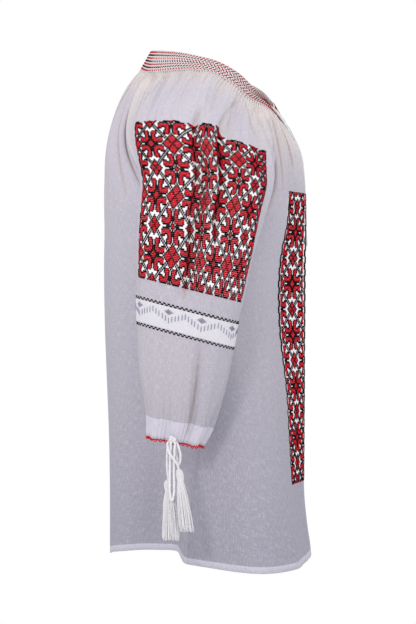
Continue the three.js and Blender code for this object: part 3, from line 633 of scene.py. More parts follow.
def tassel_piece(name, sizes, handed, threads, node):
    """Threads from a tied head: they leave it together, bulge over it, draw in at the neck and
    spread to the foot, each with a wave and a length of its own. A thread is wound round the neck."""
    top, bottom = placed(sizes["top"], handed), placed(sizes["bottom"], handed)
    fall = bottom - top
    wide, thick = sizes["width"] / 2 * MM, sizes["thick"] / 2 * MM
    down = np.linspace(0, 1, TASSEL_RINGS)
    profile = np.interp(down, TASSEL_DOWN, TASSEL_SPREAD)
    parts = []
    for k in range(threads):
        turn = GOLDEN_ANGLE * k + 0.05 * rng.normal()
        out = np.sqrt((k + 0.5) / threads)
        wave = 0.03 * np.sin(down * rng.uniform(6, 12) + rng.uniform(0, 6)) * down
        reach = rng.uniform(0.93, 1.0)
        r = profile * out + wave
        line = top + down[:, None] * reach * fall
        line = line + np.stack([np.cos(turn) * r * thick, np.sin(turn + wave) * r * wide, 0 * r], 1)
        parts.append(tube(line, np.full(TASSEL_RINGS, 0.055 * wide + 0.00012), 5, across=(0.9, 0.43, 0)))
    turns = np.linspace(0, 2 * np.pi * 4, WINDING_RINGS)
    wound = top + fall * (0.15 + 0.035 * turns[:, None] / turns[-1])
    wound = wound + np.stack([np.cos(turns) * thick * 0.4, np.sin(turns) * wide * 0.4, 0 * turns], 1)
    parts.append(tube(wound, np.full(WINDING_RINGS, 0.0005), 6, across=(0, 0.1, 1)))
    return finished(mesh_piece(name, *join_parts(parts)), CORD, [node])


def tail_points(points, sizes, handed):
    """The route of a tail in metres, carried on inside its tassel."""
    top, bottom = np.array(sizes["top"], float), np.array(sizes["bottom"], float)
    way = (bottom - top) / np.linalg.norm(bottom - top)
    return placed([*points, list(top + way * 6), list(top + way * TAIL_INSIDE)], handed)


print("rings along the longest cord, about:", int(max(CORD_CUTS.values()) * MM / RING_STEP))

# %% [markdown]
# At each cuff the two tails and the two ears of the bow leave one knot. The right side is the left
# one mirrored, so a loop makes both. Each cord says how long it is cut, and the length of the tube
# that is drawn is printed beside it.

# %% Tie the cuffs and the neck
CUFF_THREADS = 95
NECK_THREADS = 42
lengths = {}
for side, handed in SIDES.items():
    knot_piece(f"cuff_knot_tied_{side}", placed(CUFF_KNOT, handed), CUFF_KNOT_RADIUS, f"cuff_knot_{side}")
    for end in ("front", "back"):
        sizes = CUFF_TASSELS[end]
        node = f"cuff_tassel_{end}_{side}"
        tassel = tassel_piece(f"cuff_threads_{end}_{side}", sizes, handed, CUFF_THREADS, node)
        name = f"cuff_tail_{end}_{side}"
        route = tail_points(CUFF_CORDS[f"tail_{end}"], sizes, handed)
        lengths[name] = cord_piece(f"twisted_{name}", route, name)
    for ear in ("ear_long", "ear_short"):
        name = f"cuff_{ear}_{side}"
        lengths[name] = cord_piece(f"twisted_{name}", placed(CUFF_CORDS[ear], handed), name)
    sizes = NECK_TASSELS[side]
    tassel = tassel_piece(f"neck_threads_{side}", sizes, handed, NECK_THREADS, f"neck_tassel_{side}")
    name = f"neck_tail_{side}"
    route = tail_points(NECK_TAILS[side], sizes, handed)
    lengths[name] = cord_piece(f"twisted_{name}", route, name)
    name = f"neck_cord_{side}"
    lengths[name] = cord_piece(f"twisted_{name}", placed(NECK_CORD, handed), name)
knot_piece("neck_knot_tied", placed(NECK_KNOT, 1), NECK_KNOT_RADIUS, "neck_knot")
for name, (cut, drawn) in lengths.items():
    print(f"{name}: cut {cut / MM:.0f} mm, drawn {drawn / MM:.1f} mm")


# %% [markdown]
# ## The cloth as surfaces
# The front and back fall from the neckband through the yoke, then hang straight down. The sleeve
# falls from the neckband and both raglan seams, then follows its rings to the cuff. Each surface is
# a function of a row and a column, the same two numbers that the solids use, so the finer cloth and
# the solids agree.

# %% Body surface
OUTLINE_SAMPLES = 49


def outlines(z, side):
    """The body's outline at each height, from the middle to the side seam, as smooth curves."""
    v = between(BODY, z, list(range(1, 15)))
    middle_front, middle_back = (np.stack([0 * z, v[:, k]], 1) for k in (0, 13))
    keys = [middle_front, *(v[:, k:k + 2] for k in range(1, 13, 2)), middle_back]
    keys = [keys[1] * [-1, 1], *keys, keys[6] * [-1, 1]]
    points = np.stack([np.column_stack([k, z]) for k in keys], axis=1)
    ends = (1, 5) if side == "front" else (8, 5)
    return through(points, np.linspace(*ends, OUTLINE_SAMPLES) / (len(keys) - 1))


def across_shares(u, line, side):
    """Share of the outline at each column; the front keeps its distance in millimetres near the strip."""
    if side == "back":
        return u / BACK_COLUMNS
    half = runs(line)[-1]
    last = STRIP_STATIONS[-1] / half
    return np.where(u <= 5, np.interp(u, range(6), STRIP_STATIONS) / half, last + (1 - last) * (u - 5) / 4)


def hem_rise(f, side):
    """How far the hem is lifted at each share of the outline, in millimetres."""
    front, seam, hollow, back = HEM_LIFT.values()
    if side == "front":
        return front + (seam - front) * smooth(f * 2 - 1)
    return back + (hollow - back) * smooth(f * 1.6) + (seam - hollow) * smooth(f * 5 - 4)


# Steps from the neck and from the underarm to the curves' control points: at the seam, in the middle.
RAGLAN = {"front": ([45, -27, -34], [0, -85, 0]), "back": ([45, 29, -39], [0, 105, 0])}
MIDDLE = {"front": ([0, -31, -33], [0, 0, 60]), "back": ([0, 42, -26], [0, 2, 86])}


def mixed(a, b, t):
    """Places on the way from a to b, one for each t."""
    a, b = np.array(a, float), np.array(b, float)
    return a + (b - a) * t[:, None]


def body_half(rows, columns, side):
    """Rows up to 8 are Bezier curves from the neckband to the underarm; the rest follow the outlines."""
    front = side == "front"
    line = outlines(np.array([UNDERARM[2]]), side)[0]
    q = across_shares(columns, line, side)
    top = neck_low(q * CLOTH["front_gather"] if front else NECK_HALF - q * CLOTH["back_gather"])
    slit = CLOTH["slit_half"] * (1 - q)**3 if front else 0 * q
    shift = np.stack([slit, 0 * q, 0 * q], 1)
    foot = at_shares(line, q)
    p1 = top - shift + mixed(MIDDLE[side][0], RAGLAN[side][0], q)
    p2 = foot + mixed(MIDDLE[side][1], RAGLAN[side][1], q**3)
    yoke = rows[rows <= YOKE_ROWS] / YOKE_ROWS
    end = CLOTH["slit_end_row"] / YOKE_ROWS
    opened = np.clip(1 - yoke / end, 0, 1) ** 1.2
    points = bezier((top - shift)[None], p1[None], p2[None], foot[None], yoke[:, None] + 0 * q[None])
    points = points + opened[:, None, None] * shift[None]
    z = np.interp(rows[rows > YOKE_ROWS], range(YOKE_ROWS, YOKE_ROWS + len(BODY_ROWS)), BODY_ROWS)
    low = []
    for height, curve in zip(z, outlines(z, side)):
        f = across_shares(columns, curve, side)
        p = at_shares(curve, f)
        p[:, 2] += hem_rise(f, side) * smooth((-480 - height) / 150)
        low.append(p)
    return np.concatenate([points, np.array(low)]) if low else points


at_underarm = outlines(np.array([UNDERARM[2]]), "front")[0]
print("half the front at the underarm:", runs(at_underarm)[-1].round(1), "mm")

# %% [markdown]
# A sleeve is cut flat and sewn into a tube. Its columns start at the underarm, run up the back seam,
# along the neckband over the shoulder, and down the front seam to the underarm again. Its rows run
# from that edge to the cuff, so one function of two numbers gives all of it.

# %% Sleeve surface
RING_SAMPLES = 97
# Steps from the seam or the neck, and from the first ring, to the curves' control points.
FALL = {"underarm": ([18, 0, 0], [0, 0, 24]), "back": ([50, -2, -25], [-15, -6, 119]),
        "crown": ([75, 0, -14], [0, 0, 121]), "front": ([44, -33, -23], [-10, -33, 109])}


def rounded(c):
    """A sine or cosine made a little squarer."""
    return np.sign(c) * np.abs(c) ** 0.8


def sleeve_ring(place):
    """A rounded flat tube that tilts down to the front, as an even walk round its edge."""
    section = between(SLEEVE, np.array([place]), list(range(1, 7)))[0]
    back_z, back_y, front_z, front_y, inner, outer = section
    a = np.linspace(0, 2 * np.pi, RING_SAMPLES)
    share = 0.5 + 0.5 * rounded(np.sin(a))
    x = inner + (outer - inner) * (0.5 - 0.5 * rounded(np.cos(a)))
    return np.stack([x, front_y + (back_y - front_y) * share, front_z + (back_z - front_z) * share], 1)


def sleeve_half(rows, columns):
    """Rows up to 8 fall from the seams to the first ring; the rest follow the rings to the cuff."""
    u = columns
    shares = [0, EDGE_SHARE, 1 - EDGE_SHARE, 1]
    ring_share = np.interp(u, [0, SEAM_COLUMNS, FRONT_EDGE, SLEEVE_COLUMNS], shares)
    rise = np.clip(np.minimum(u, SLEEVE_COLUMNS - u) / SEAM_COLUMNS, 0, 1)
    share = np.clip((u - SEAM_COLUMNS) / CROWN_COLUMNS, 0, 1)
    at_back, at_front = NECK_HALF - CLOTH["back_gather"], CLOTH["front_gather"]
    neck = neck_low(at_back + share * (at_front - at_back))
    seam = {}
    for side, along in (("back", at_back), ("front", at_front)):
        p0 = neck_low(np.array([along]))
        seam[side] = bezier(p0, p0 + RAGLAN[side][0], UNDERARM + RAGLAN[side][1], UNDERARM, 1 - rise)
    on_back, on_front = (u < SEAM_COLUMNS)[:, None], (u > FRONT_EDGE)[:, None]
    start = np.where(on_back, seam["back"], np.where(on_front, seam["front"], neck))
    steps = []
    for part in (0, 1):
        low, back, crown, front = (np.array(fall[part], float) for fall in FALL.values())
        edge = back + (front - back) * share[:, None]
        top = edge + (crown - edge) * (np.sin(np.pi * share) ** 0.7)[:, None]
        side = np.where((u < SHOULDER_COLUMN)[:, None], back, front)
        ramp = low + (side - low) * rise[:, None]
        steps.append(np.where(on_back | on_front, ramp, top))
    end = at_shares(sleeve_ring(0), ring_share)
    t = rows[rows <= YOKE_ROWS] / YOKE_ROWS
    p1, p2 = start + steps[0], end + steps[1]
    points = bezier(start[None], p1[None], p2[None], end[None], t[:, None] + 0 * u[None])
    stations = range(YOKE_ROWS, YOKE_ROWS + len(SLEEVE_PLACES))
    places = np.interp(rows[rows > YOKE_ROWS], stations, SLEEVE_PLACES)
    rings = [at_shares(sleeve_ring(p), ring_share) for p in places]
    return np.concatenate([points, np.array(rings)]) if rings else points


def surface(rows, columns, side):
    """The smooth surface of a panel without its folds, at every row and column."""
    return sleeve_half(rows, columns) if side == "sleeve" else body_half(rows, columns, side)


for side in ("front", "back", "sleeve"):
    lowest = surface(np.arange(17.0), np.arange(9.0), side)[-1, 0]
    print(f"{side}: first column of row 16 at", lowest.round(1), "mm")

# %% [markdown]
# ## Folds
# The neckband gathers more than twice its length of cloth. Close to it the cloth stands in small,
# even pleats; further down they merge into a few larger folds, and two pleats of the sleeve run on
# through the embroidery. Each is a displacement along the cloth's normal.

# %% Large folds
# Column, depth in millimetres, and how far down the yoke the gather ends, as a share.
GATHERS = {"front": [(2, 4, 0.8), (4, 6, 0.95), (6, 7, 1), (8, 6, 0.9)],
           "back": [(1, 5, 0.8), (3, 7, 1), (5, 6, 0.9), (7, 6, 0.9)],
           "sleeve": [(10, 5, 0.45), (12, 6, 0.5), (14, 5, 0.4), (16, 6, 0.45), (19, 6, 0.45),
                      (21, 6, 0.6), (23, 6, 0.7)]}
# Pleats of the sleeve: column at the start and at the end, first and last row, depth.
PLEATS = [(18.0, 15.5, 3, 9.6, 10), (20.5, 17.9, 3, 8, 9), (18, 18, 11, 16, 6)]
LAST = {"front": FRONT_COLUMNS, "back": BACK_COLUMNS, "sleeve": SLEEVE_COLUMNS}
PLEATS_PER_COLUMN = {"front": 2.0, "back": 2.4, "sleeve": 3.2}


def fold_height(r, u, side):
    """The large folds of the solids. Each is a sine down its length times a bell across it, so a
    gather swells from the neckband and dies out. The front also has a hollow down its middle."""
    v = r / YOKE_ROWS
    height = 0 * r
    for column, depth, end in GATHERS[side]:
        in_reach = (v > 0) & (v < end)
        swell = np.sin(np.pi * np.clip(v / end, 0, 1) ** 0.6)
        height -= np.where(in_reach, depth * np.clip(swell, 0, 1) ** 0.8 * bell(u - column, 0.8), 0)
    if side == "sleeve":
        for first, last, start, end, depth in PLEATS:
            t = np.clip((r - start) / (end - start), 0, 1)
            hump = bell(u - first - (last - first) * t, 0.75)
            height -= depth * np.clip(np.sin(np.pi * t), 0, 1) ** 0.5 * hump
        height += 2.5 * smooth((r - 13) / 3) * np.cos(np.pi * u * 0.5)
        return height * np.clip(np.minimum(u, SLEEVE_COLUMNS - u) / 2, 0, 1)
    if side == "front":
        z = np.interp(r, range(0, 18), [*np.linspace(-60, -196, 9), *BODY_ROWS[1:]])
        hollow = (12 - 7 * smooth((-240 - z) / 90)) * smooth((r - 3) / 3) * (1 - smooth((-540 - z) / 80))
        height -= hollow * (1 - smooth(u))
    return height * np.clip(LAST[side] - u, 0, 1)


print("gathers:", {side: len(folds) for side, folds in GATHERS.items()}, "pleats:", len(PLEATS))

# %% [markdown]
# Gathered cloth also breaks into narrow creases. They could be sculpted or simulated. Here each is
# a sine along its length times a bell across it, so its place and depth stay plain numbers.

# %% Narrow folds
# Column at the start and at the end, first and last row, depth.
SHARP = {"front": [(8.0, 7.3, 0.6, 8, 4.0), (6.4, 5.9, 0.4, 7, 3.8), (5.0, 4.8, 0.3, 5.5, 3.0),
                   (8.6, 8.3, 2, 9, 3.0), (3.4, 3.3, 0.3, 4.5, 2.4), (7.2, 6.8, 0.5, 6, 3.0)],
         "back": [(7.2, 6.6, 0.4, 6, 3.6), (5.5, 5.0, 0.3, 7, 3.2), (2.4, 2.2, 0.3, 5, 2.4)],
         "sleeve": [(21.4, 23.2, 0.4, 3.7, 2.8), (24.6, 25.6, 0.8, 7, 3.4), (9.4, 8.8, 0.5, 6, 3.4),
                    (11.6, 10.8, 0.3, 2.6, 1.8), (18.0, 18.0, 11.3, 15.6, 2.2), (22.6, 24.6, 0.3, 5, 1.8),
                    (23.4, 25.4, 0.5, 5.5, 2.0), (10.2, 9.6, 0.3, 3.6, 1.8), (12.7, 12.3, 0.3, 2.4, 1.4),
                    (15.0, 14.7, 0.2, 1.6, 1.2), (17.2, 17.3, 0.2, 1.8, 1.2)]}
# Valleys at the bottom of the two long pleats: each runs forward from one row and column to another
# and then straight down to its last row.
VALLEYS = [
    dict(rows=(3, 7, 9.5), columns=(18, 15.7), depth=3.6),
    dict(rows=(1, 7, 8.5), columns=(21, 18.2), depth=3.0),
]
SHARP_WIDTH, VALLEY_WIDTH = 0.12, 0.17
# How deep a narrow fold is, in millimetres, where its bottom has all of its painted tan shade.
CREASE_DEPTH = {"front": 2.4, "back": 3.2, "sleeve": 5.5}


def valley_column(r, valley):
    """The sleeve column of a valley at each row."""
    return np.interp(r, valley["rows"][:2], valley["columns"])


def sharp_height(r, u, side):
    """Narrow folds that run from the gathers, and the valleys of the two long pleats: a sine along
    each, to a power below 1 so that its ends are steep, times a bell across it."""
    height = 0 * r
    for first, last, start, end, depth in SHARP[side]:
        t = np.clip((r - start) / (end - start), 0, 1)
        height -= depth * np.sin(np.pi * t) ** 0.6 * bell(u - first - (last - first) * t, SHARP_WIDTH)
    for valley in VALLEYS if side == "sleeve" else ():
        start, _, end = valley["rows"]
        t = np.clip((r - start) / (end - start), 0, 1)
        hump = bell(u - valley_column(r, valley), VALLEY_WIDTH)
        height -= valley["depth"] * np.sin(np.pi * t) ** 0.4 * hump
    return height


print("narrow folds:", {side: len(folds) for side, folds in SHARP.items()}, "valleys:", len(VALLEYS))

# %% [markdown]
# The smallest pleats are waves across the columns. Three cosines of different widths take over from
# one another down the cloth, and a slow wander keeps their spacing from looking even.

# %% Small gathers, and the cloth with all its folds
def gather_height(r, u, side):
    """Small pleats by the neckband, that merge into wider ones with irregular spacing further down.
    On the sleeve they also stand above the cuff casing."""
    n = PLEATS_PER_COLUMN[side]
    wander = 0.9 * np.sin(0.83 * u + 0.5 * r) + 0.6 * np.sin(2.1 * u - 0.4 * r + 1)
    fine = np.cos(2 * np.pi * (n * u + 0.25 * wander * np.clip(r, 0, 3)))
    middle = np.cos(2 * np.pi * (n * 0.42 * u + 0.35 * wander))
    broad = np.cos(2 * np.pi * (n * 0.17 * u + 0.3 * wander + 0.1 * r))
    height = 1.1 * fine * (1 - smooth(r / 2.2))
    height += 0.6 * middle * smooth(r / 1.5) * (1 - smooth((r - 2) / 3.5))
    height += 0.9 * broad * smooth(r / 4) * (1 - 0.5 * smooth((r - 6) / 5))
    if side == "sleeve":
        crown = smooth((u - 6) / 2) * smooth((26 - u) / 2)
        cuff = smooth((r - 13.2) / 1.8)
        height = height * crown * (1 - 0.8 * smooth((r - 3.5) / 1) * (1 - smooth((r - 9) / 1)))
        height += 0.4 * np.cos(2 * np.pi * (1.6 * u + 0.2 * wander)) * cuff
    ends = np.clip(LAST[side] - u, 0, 1) * (np.clip(u, 0, 1) if side != "front" else 1)
    return height * ends


def draped(rows, columns, side):
    """The surface with all its folds, in millimetres on the left half, and how deep in a fold each
    of its points lies, from 0 to 1."""
    flat = surface(rows, columns, side)
    r, u = np.meshgrid(rows, columns, indexing="ij")
    facing_in = side != "front"
    large = fold_height(r, u, side)
    big = flat + grid_normals(flat, facing_in) * large[..., None]
    sharp = sharp_height(r, u, side)
    small = gather_height(r, u, side) + sharp
    points = big + grid_normals(big, facing_in) * small[..., None]
    if side != "sleeve":
        points[:, columns == 0, 0] = flat[:, columns == 0, 0]
    # The depth in a fold, which the finishes turn into painted shade, counts the large folds a little too.
    in_large = 0.4 * np.clip(-large / 9, 0, 1) ** 2
    return points, np.clip(-sharp / CREASE_DEPTH[side] + in_large, 0, 1)


# %% [markdown]
# ## Cutting and hanging the cloth
# Each panel is a single layer of points that Solidify thickens to a real voile's half millimetre.
# Front and back are two mirrored halves that share their middle line, except along the slit.

# %% Cuts
VOILE_THICK = 0.0005
# Millimetres of cloth that lie double at a hem, and in the cuff casing.
HEM_HEIGHTS = {"front": 9, "back": 9, "sleeve": 26}
# First row, last row, and the columns between which the cloth is worked with stitches.
WORKED_CLOTH = {"front": (6, 15, (1, 5)), "back": (0, 0, (0, 0)), "sleeve": (4, 9, (10, 22.3))}
# Each cut as it is before it is gathered, with straight edges between these lines: distance down
# from its top edge and the width there, in metres. The raglan edges make the top narrow.
CUT_LINES = {
    "front": [(0, 0.20), (0.18, 0.54), (0.62, 0.68)],
    "back": [(0, 0.21), (0.25, 0.58), (0.69, 0.46)],
    "sleeve": [(0, 0.24), (0.28, 0.38), (0.54, 0.28)],
    "neckband": [(0, 0.85), (0.026, 0.85)],
}


def cut_sizes(side):
    """Width and length of a cut, and its area as strips between its lines."""
    down, width = np.array(CUT_LINES[side]).T
    area = ((width[1:] + width[:-1]) / 2 * np.diff(down)).sum()
    return (float(width.max()), float(down[-1])), float(area)


for side in CUT_LINES:
    (width, length), area = cut_sizes(side)
    print(f"{side}: {width} x {length} m, {area:.3f} m2")

# %% [markdown]
# Each panel is a grid of rows and columns. The steps are small where the cloth is gathered or
# worked with stitches, and larger near the hem and under the arm.

# %% Grids of the cloth
def stretches(*parts):
    """Evenly spaced places in each (start, end, count). Where two parts meet they share a place."""
    first, *rest = (np.linspace(*part) for part in parts)
    return np.concatenate([first, *(part[1:] for part in rest)])


rows_body = stretches((0, 8, 49), (8, 17, 46))
GRIDS = {
    "front": (rows_body, stretches((0, 5, 66), (5, 9, 46))),
    "back": (rows_body, stretches((0, 8, 111))),
    "sleeve": (stretches((0, 8, 57), (8, 16, 41)), stretches((0, 8, 42), (8, 24, 236), (24, 32, 42))),
}
DRAPED = {side: draped(*grid, side) for side, grid in GRIDS.items()}
print("points down and across:", {side: (len(r), len(u)) for side, (r, u) in GRIDS.items()})

# %% [markdown]
# The voile's finish has to know where the cloth is gathered, hemmed, creased or worked. These
# numbers are stored on the points as attributes. The UV map holds real lengths, so that the slubs
# keep their size wherever the cloth goes.

# %% Values for the material
def surface_area(points):
    """The cells' areas added up: half the cross product of each cell's diagonals."""
    one, other = points[1:, 1:] - points[:-1, :-1], points[1:, :-1] - points[:-1, 1:]
    return 0.5 * np.linalg.norm(np.cross(one, other), axis=-1).sum()


def within(value, low, high, soft):
    """1 between low and high, falling to 0 over a soft margin inside both."""
    return smooth((value - low) / soft) * smooth((high - value) / soft)


def cloth_values(side):
    """UVs in metres along the threads; how much the cloth gathers, with a painted highlight on the
    lower sleeve; whether it is worked; and how far inside the hem or the cuff casing each point
    lies, in millimetres, negative above it."""
    points, crease = DRAPED[side]
    r, u = np.meshgrid(*GRIDS[side], indexing="ij")
    gathered_and_painted_highlight = 1 - smooth(r / (6 if side == "front" else 2.4))
    if side == "sleeve":
        at_front = 0.8 * smooth((u - 21.5) / 1.5) * (1 - smooth(r / 5))
        at_back = 0.8 * (1 - smooth((u - 9.5) / 2)) * (1 - smooth(r / 6))
        gathered_and_painted_highlight += at_front + at_back
        # Painted highlight: the back and middle of the lower sleeve are painted lighter, where the main
        # lamp falls.
        gathered_and_painted_highlight += 0.14 * smooth((r - 8) / 3) * (1 - smooth((u - 16) / 5))
    down = runs(points.swapaxes(0, 1)).T
    uv = np.stack([runs(points).mean(0)[None] + 0 * down, down], -1) * MM
    hemmed = HEM_HEIGHTS[side] - (down[-1:] - down)
    first, last, outer = WORKED_CLOTH[side]
    worked = within(r, first, last, 0.08) * within(u, *outer, 0.1)
    values = {"crease": crease, "gathered_and_painted_highlight": np.clip(gathered_and_painted_highlight, 0, 1), "hemmed": hemmed, "worked": worked}
    return uv.reshape(-1, 2), {k: v.ravel() for k, v in values.items()}


def thickened(obj):
    """Gives cloth its thickness, half of it to each side of its points."""
    solid = obj.modifiers.new("cloth thickness", "SOLIDIFY")
    solid.thickness = VOILE_THICK
    solid.offset = 0
    return obj


# %% [markdown]
# Now the panels themselves. Solidify gives them their thickness, which keeps each grid simple. Each
# one's drawn area is printed beside the area it was cut to before it was gathered.

# %% Cloth pieces
areas = {}
for side in ("front", "back"):
    points, _ = DRAPED[side]
    uv, values = cloth_values(side)
    rows, columns = points.shape[:2]
    halves = [placed(points, handed).reshape(-1, 3) for handed in (1, -1)]
    faces_out = grid_faces(rows, columns, flip=side == "back")
    other = grid_faces(rows, columns, flip=side == "front") + rows * columns
    shared = np.arange(rows) * columns
    keep = shared[GRIDS[side][0] >= (CLOTH["slit_end_row"] if side == "front" else 0)]
    swap = np.arange(2 * rows * columns)
    swap[keep + rows * columns] = keep
    used, index = np.unique(swap, return_inverse=True)
    faces = index[np.concatenate([faces_out, other])]
    both_uv = np.concatenate([uv, uv * [-1, 1]])[used]
    both_values = {k: np.tile(v, 2)[used] for k, v in values.items()}
    obj = mesh_piece(f"{side}_voile", np.concatenate(halves)[used], faces, both_uv, both_values)
    finished(thickened(obj), VOILE, [side])
    areas[side] = 2 * surface_area(points) * 1e-6
for side, handed in SIDES.items():
    points, _ = DRAPED["sleeve"]
    uv, values = cloth_values("sleeve")
    obj = mesh_piece(f"sleeve_voile_{side}", placed(points, handed).reshape(-1, 3),
                     grid_faces(*points.shape[:2], flip=handed > 0), uv, values)
    finished(thickened(obj), VOILE, [f"sleeve_{side}"])
    areas["sleeve"] = surface_area(points) * 1e-6
for side, drawn in areas.items():
    print(f"{side}: {drawn:.3f} m2 drawn, {cut_sizes(side)[1]:.3f} m2 cut")

# %% [markdown]
# ## The smocked neckband
# Smocking gathers the cloth into even pleats and holds them with rows of small slanted stitches,
# here seven, red and black in turn. The pleats are a wave across the band; each stitch is a small
# slanted thread over two of them, and two rows slant one way and the next two the other way.

# %% Neckband
PLEAT_PITCH = 2.9
PLEAT_DEPTH = 1.0
PLEAT_POINTS = 6
BAND_HEIGHT = 0.026
BAND_ROWS = 7


def band_points(along, t, lift):
    """A point on the band: along runs from the right end of the slit (0) round the back to the
    left end, t from the top edge to the lower edge, and lift is its height over the cloth."""
    half = NECK_HALF - np.abs(NECK_HALF - along)
    handed = np.where(along < NECK_HALF, -1.0, 1.0)
    base = neck_top(half) + (neck_low(half) - neck_top(half)) * t[..., None]
    low, high = np.maximum(half - 0.8, 0), half + 0.8
    tangent = (neck_low(high) - neck_low(low)) / (high - low)[..., None]
    normal = np.cross(tangent, neck_low(half) - neck_top(half))
    normal /= np.linalg.norm(normal, axis=-1, keepdims=True)
    normal *= np.sign((normal * (base - [0, 0, base[..., 2].mean()])).sum(-1, keepdims=True))
    return placed(base + normal * lift[..., None], handed)


pleats = int(2 * NECK_HALF / PLEAT_PITCH)
along, t = np.meshgrid(np.linspace(0, 2 * NECK_HALF, pleats * PLEAT_POINTS + 1), np.linspace(0, 1, 5))
pleat = np.abs(np.cos(np.pi * along / PLEAT_PITCH))
band = band_points(along, t, PLEAT_DEPTH * (pleat - 0.5))
uv = np.stack([along * MM, t * BAND_HEIGHT], -1).reshape(-1, 2)
whole = np.ones_like(pleat)
# The dips between the band's pleats get painted shade through their crease value.
values = {"crease": (1 - pleat) * 0.5, "gathered_and_painted_highlight": whole, "hemmed": -9 * whole, "worked": 0.5 * whole}
obj = mesh_piece("neckband_smocked", band.reshape(-1, 3), grid_faces(*along.shape, flip=True), uv, values)
finished(thickened(obj), VOILE, ["neckband"])
print("neckband pleats:", pleats)

# %% [markdown]
# ## Small raised threads
# Cross stitch, satin stitch and smocking are all short threads that lie on cloth. One roof-shaped
# thread of six points serves for each, and whole fields of them are placed at once. A chart is a
# grid of cells laid over a surface: any place in a cell is found between the cell's four corners.

# %% Threads on a chart
THREAD_POINTS = 6
# The ridge of a thread, as shares of its length.
RIDGE = (0.28, 0.72)


def roofs(start, end, left, normal, width, height):
    """Threads from start to end: a ridge over the middle part and four corners on the cloth."""
    side = left * np.asarray(width)[..., None]
    a, b = (start + (end - start) * share + normal * height for share in RIDGE)
    corners = np.stack([start + side, start - side, end - side, end + side, a, b], 1)
    first = np.arange(len(start))[:, None] * THREAD_POINTS
    quads = np.concatenate([first + [1, 2, 5, 4], first + [3, 0, 4, 5]])
    triangles = np.concatenate([first + [0, 1, 4], first + [2, 3, 5]])
    return corners.reshape(-1, 3), quads, triangles


def on_chart(corners, x, y):
    """Places on a chart of corner points, x cells across and y cells down, with their normals."""
    i = np.clip(x.astype(int), 0, corners.shape[1] - 2)
    j = np.clip(y.astype(int), 0, corners.shape[0] - 2)
    a, b = (x - i)[:, None], (y - j)[:, None]
    p00, p10, p01, p11 = corners[j, i], corners[j, i + 1], corners[j + 1, i], corners[j + 1, i + 1]
    point = (p00 * (1 - a) + p10 * a) * (1 - b) + (p01 * (1 - a) + p11 * a) * b
    normal = np.cross(p01 - p00, p10 - p00)
    normal /= np.maximum(np.linalg.norm(normal, axis=1, keepdims=True), 1e-12)
    return point, normal


def threads(chart, x0, y0, x1, y1, width, height, outward, clear=0.0003):
    """Roof threads on a chart between two places in cells, with half their width, their height and
    how far they start above the cloth, in metres."""
    start, normal = on_chart(chart, x0, y0)
    end, _ = on_chart(chart, x1, y1)
    normal = normal * outward
    left = np.cross(normal, end - start)
    left /= np.maximum(np.linalg.norm(left, axis=1, keepdims=True), 1e-12)
    lift = normal * clear
    return roofs(start + lift, end + lift, left, normal, width, height)


# %% Crosses
CROSS_FILL = 0.56
# Where a cross starts and ends in its cell, and the heights of its lower and its upper thread.
CROSS_ENDS = (0.06, 0.94)
LOWER_THREAD, UPPER_THREAD = 0.00042, 0.00055


def crosses(chart, cells, outward, clear=0.0003):
    """Two crossing threads in each listed cell (column, row); the second lies on the first. Half a
    thread's width is a share of the cell's height over its diagonal, so that each cell is filled."""
    i, j = cells[:, 0], cells[:, 1]
    corner = chart[j, i]
    wide = np.linalg.norm(chart[j, i + 1] - corner, axis=1)
    high = np.linalg.norm(chart[j + 1, i] - corner, axis=1)
    half = CROSS_FILL * wide * high / np.hypot(wide, high)
    (left, right), (top, foot) = ([place + end for end in CROSS_ENDS] for place in (i, j))
    return [threads(chart, left, top, right, foot, half, LOWER_THREAD, outward, clear),
            threads(chart, right, top, left, foot, half, UPPER_THREAD, outward, clear)]


def stitched(name, parts, finish, nodes=(), values=None):
    """Many small threads or tubes as one flat-shaded piece, with its finish; it hides its solids."""
    piece = mesh_piece(name, *join_parts(parts), values=values, smooth_faces=False)
    return finished(piece, finish, nodes)


# %% [markdown]
# Stitches are counted on the weave, so a chart's cells have to be even on the cloth itself. The
# length of the draped cloth is measured along each line and shared out between the cells.

# %% Charts on the draped cloth
CHART_STEPS = 240


def on_grid(side, r, u):
    """Rows and columns of the surface as places between the points of its fine grid."""
    return [np.interp(at, line, np.arange(len(line))) for at, line in zip((r, u), GRIDS[side])]


def sampled(side, r, u, handed):
    """Places on the draped cloth at rows r and columns u, between the points of its fine grid."""
    y, x = on_grid(side, r, u)
    grid = placed(DRAPED[side][0], handed)
    return on_chart(grid, x.ravel(), y.ravel())[0].reshape(*np.shape(r), 3)


def crease_at(side, r, u):
    """How deep in a fold the nearest point of the fine grid lies."""
    y, x = on_grid(side, r, u)
    return DRAPED[side][1][np.rint(y).astype(int), np.rint(x).astype(int)]


def even_rows(side, handed, r, column, down):
    """Rows that share the length down the cloth, along one column, evenly."""
    line = np.linspace(*r, CHART_STEPS)
    run = runs(sampled(side, line, np.full(CHART_STEPS, column), handed))
    return np.interp(np.linspace(0, 1, down + 1), run / run[-1], line)


def even_chart(side, handed, r, u_low, u_high, down, across):
    """A chart with even cells: rows share the length down the cloth, columns the length across.
    u_high gives rows and the outer column at each."""
    chart = []
    for row in even_rows(side, handed, r, (u_low + u_high[1][0]) / 2, down):
        u = np.linspace(u_low, np.interp(row, *u_high), CHART_STEPS)
        run = runs(sampled(side, np.full(CHART_STEPS, row), u, handed))
        even = np.interp(np.linspace(0, 1, across + 1), run / run[-1], u)
        chart.append(sampled(side, np.full(across + 1, row), even, handed))
    return np.array(chart)


# %% [markdown]
# ## The cross-stitch chart
# The pattern repeats every 32 cells both ways. A flower of hooks stands at the corner and in the
# middle of the repeat, a red diamond with a black edge beside each, and two slanted black lines with
# plain cloth between them join the diamonds. One function gives the thread colour of any cell.

# %% Pattern
REPEAT = 32
RED_CELL, BLACK_CELL = 1, 2
PETAL = [(3.7, 8.2), (2.6, 7.4), (2.4, 4.0), (4.0, 2.4), (7.4, 2.6), (8.2, 3.7)]


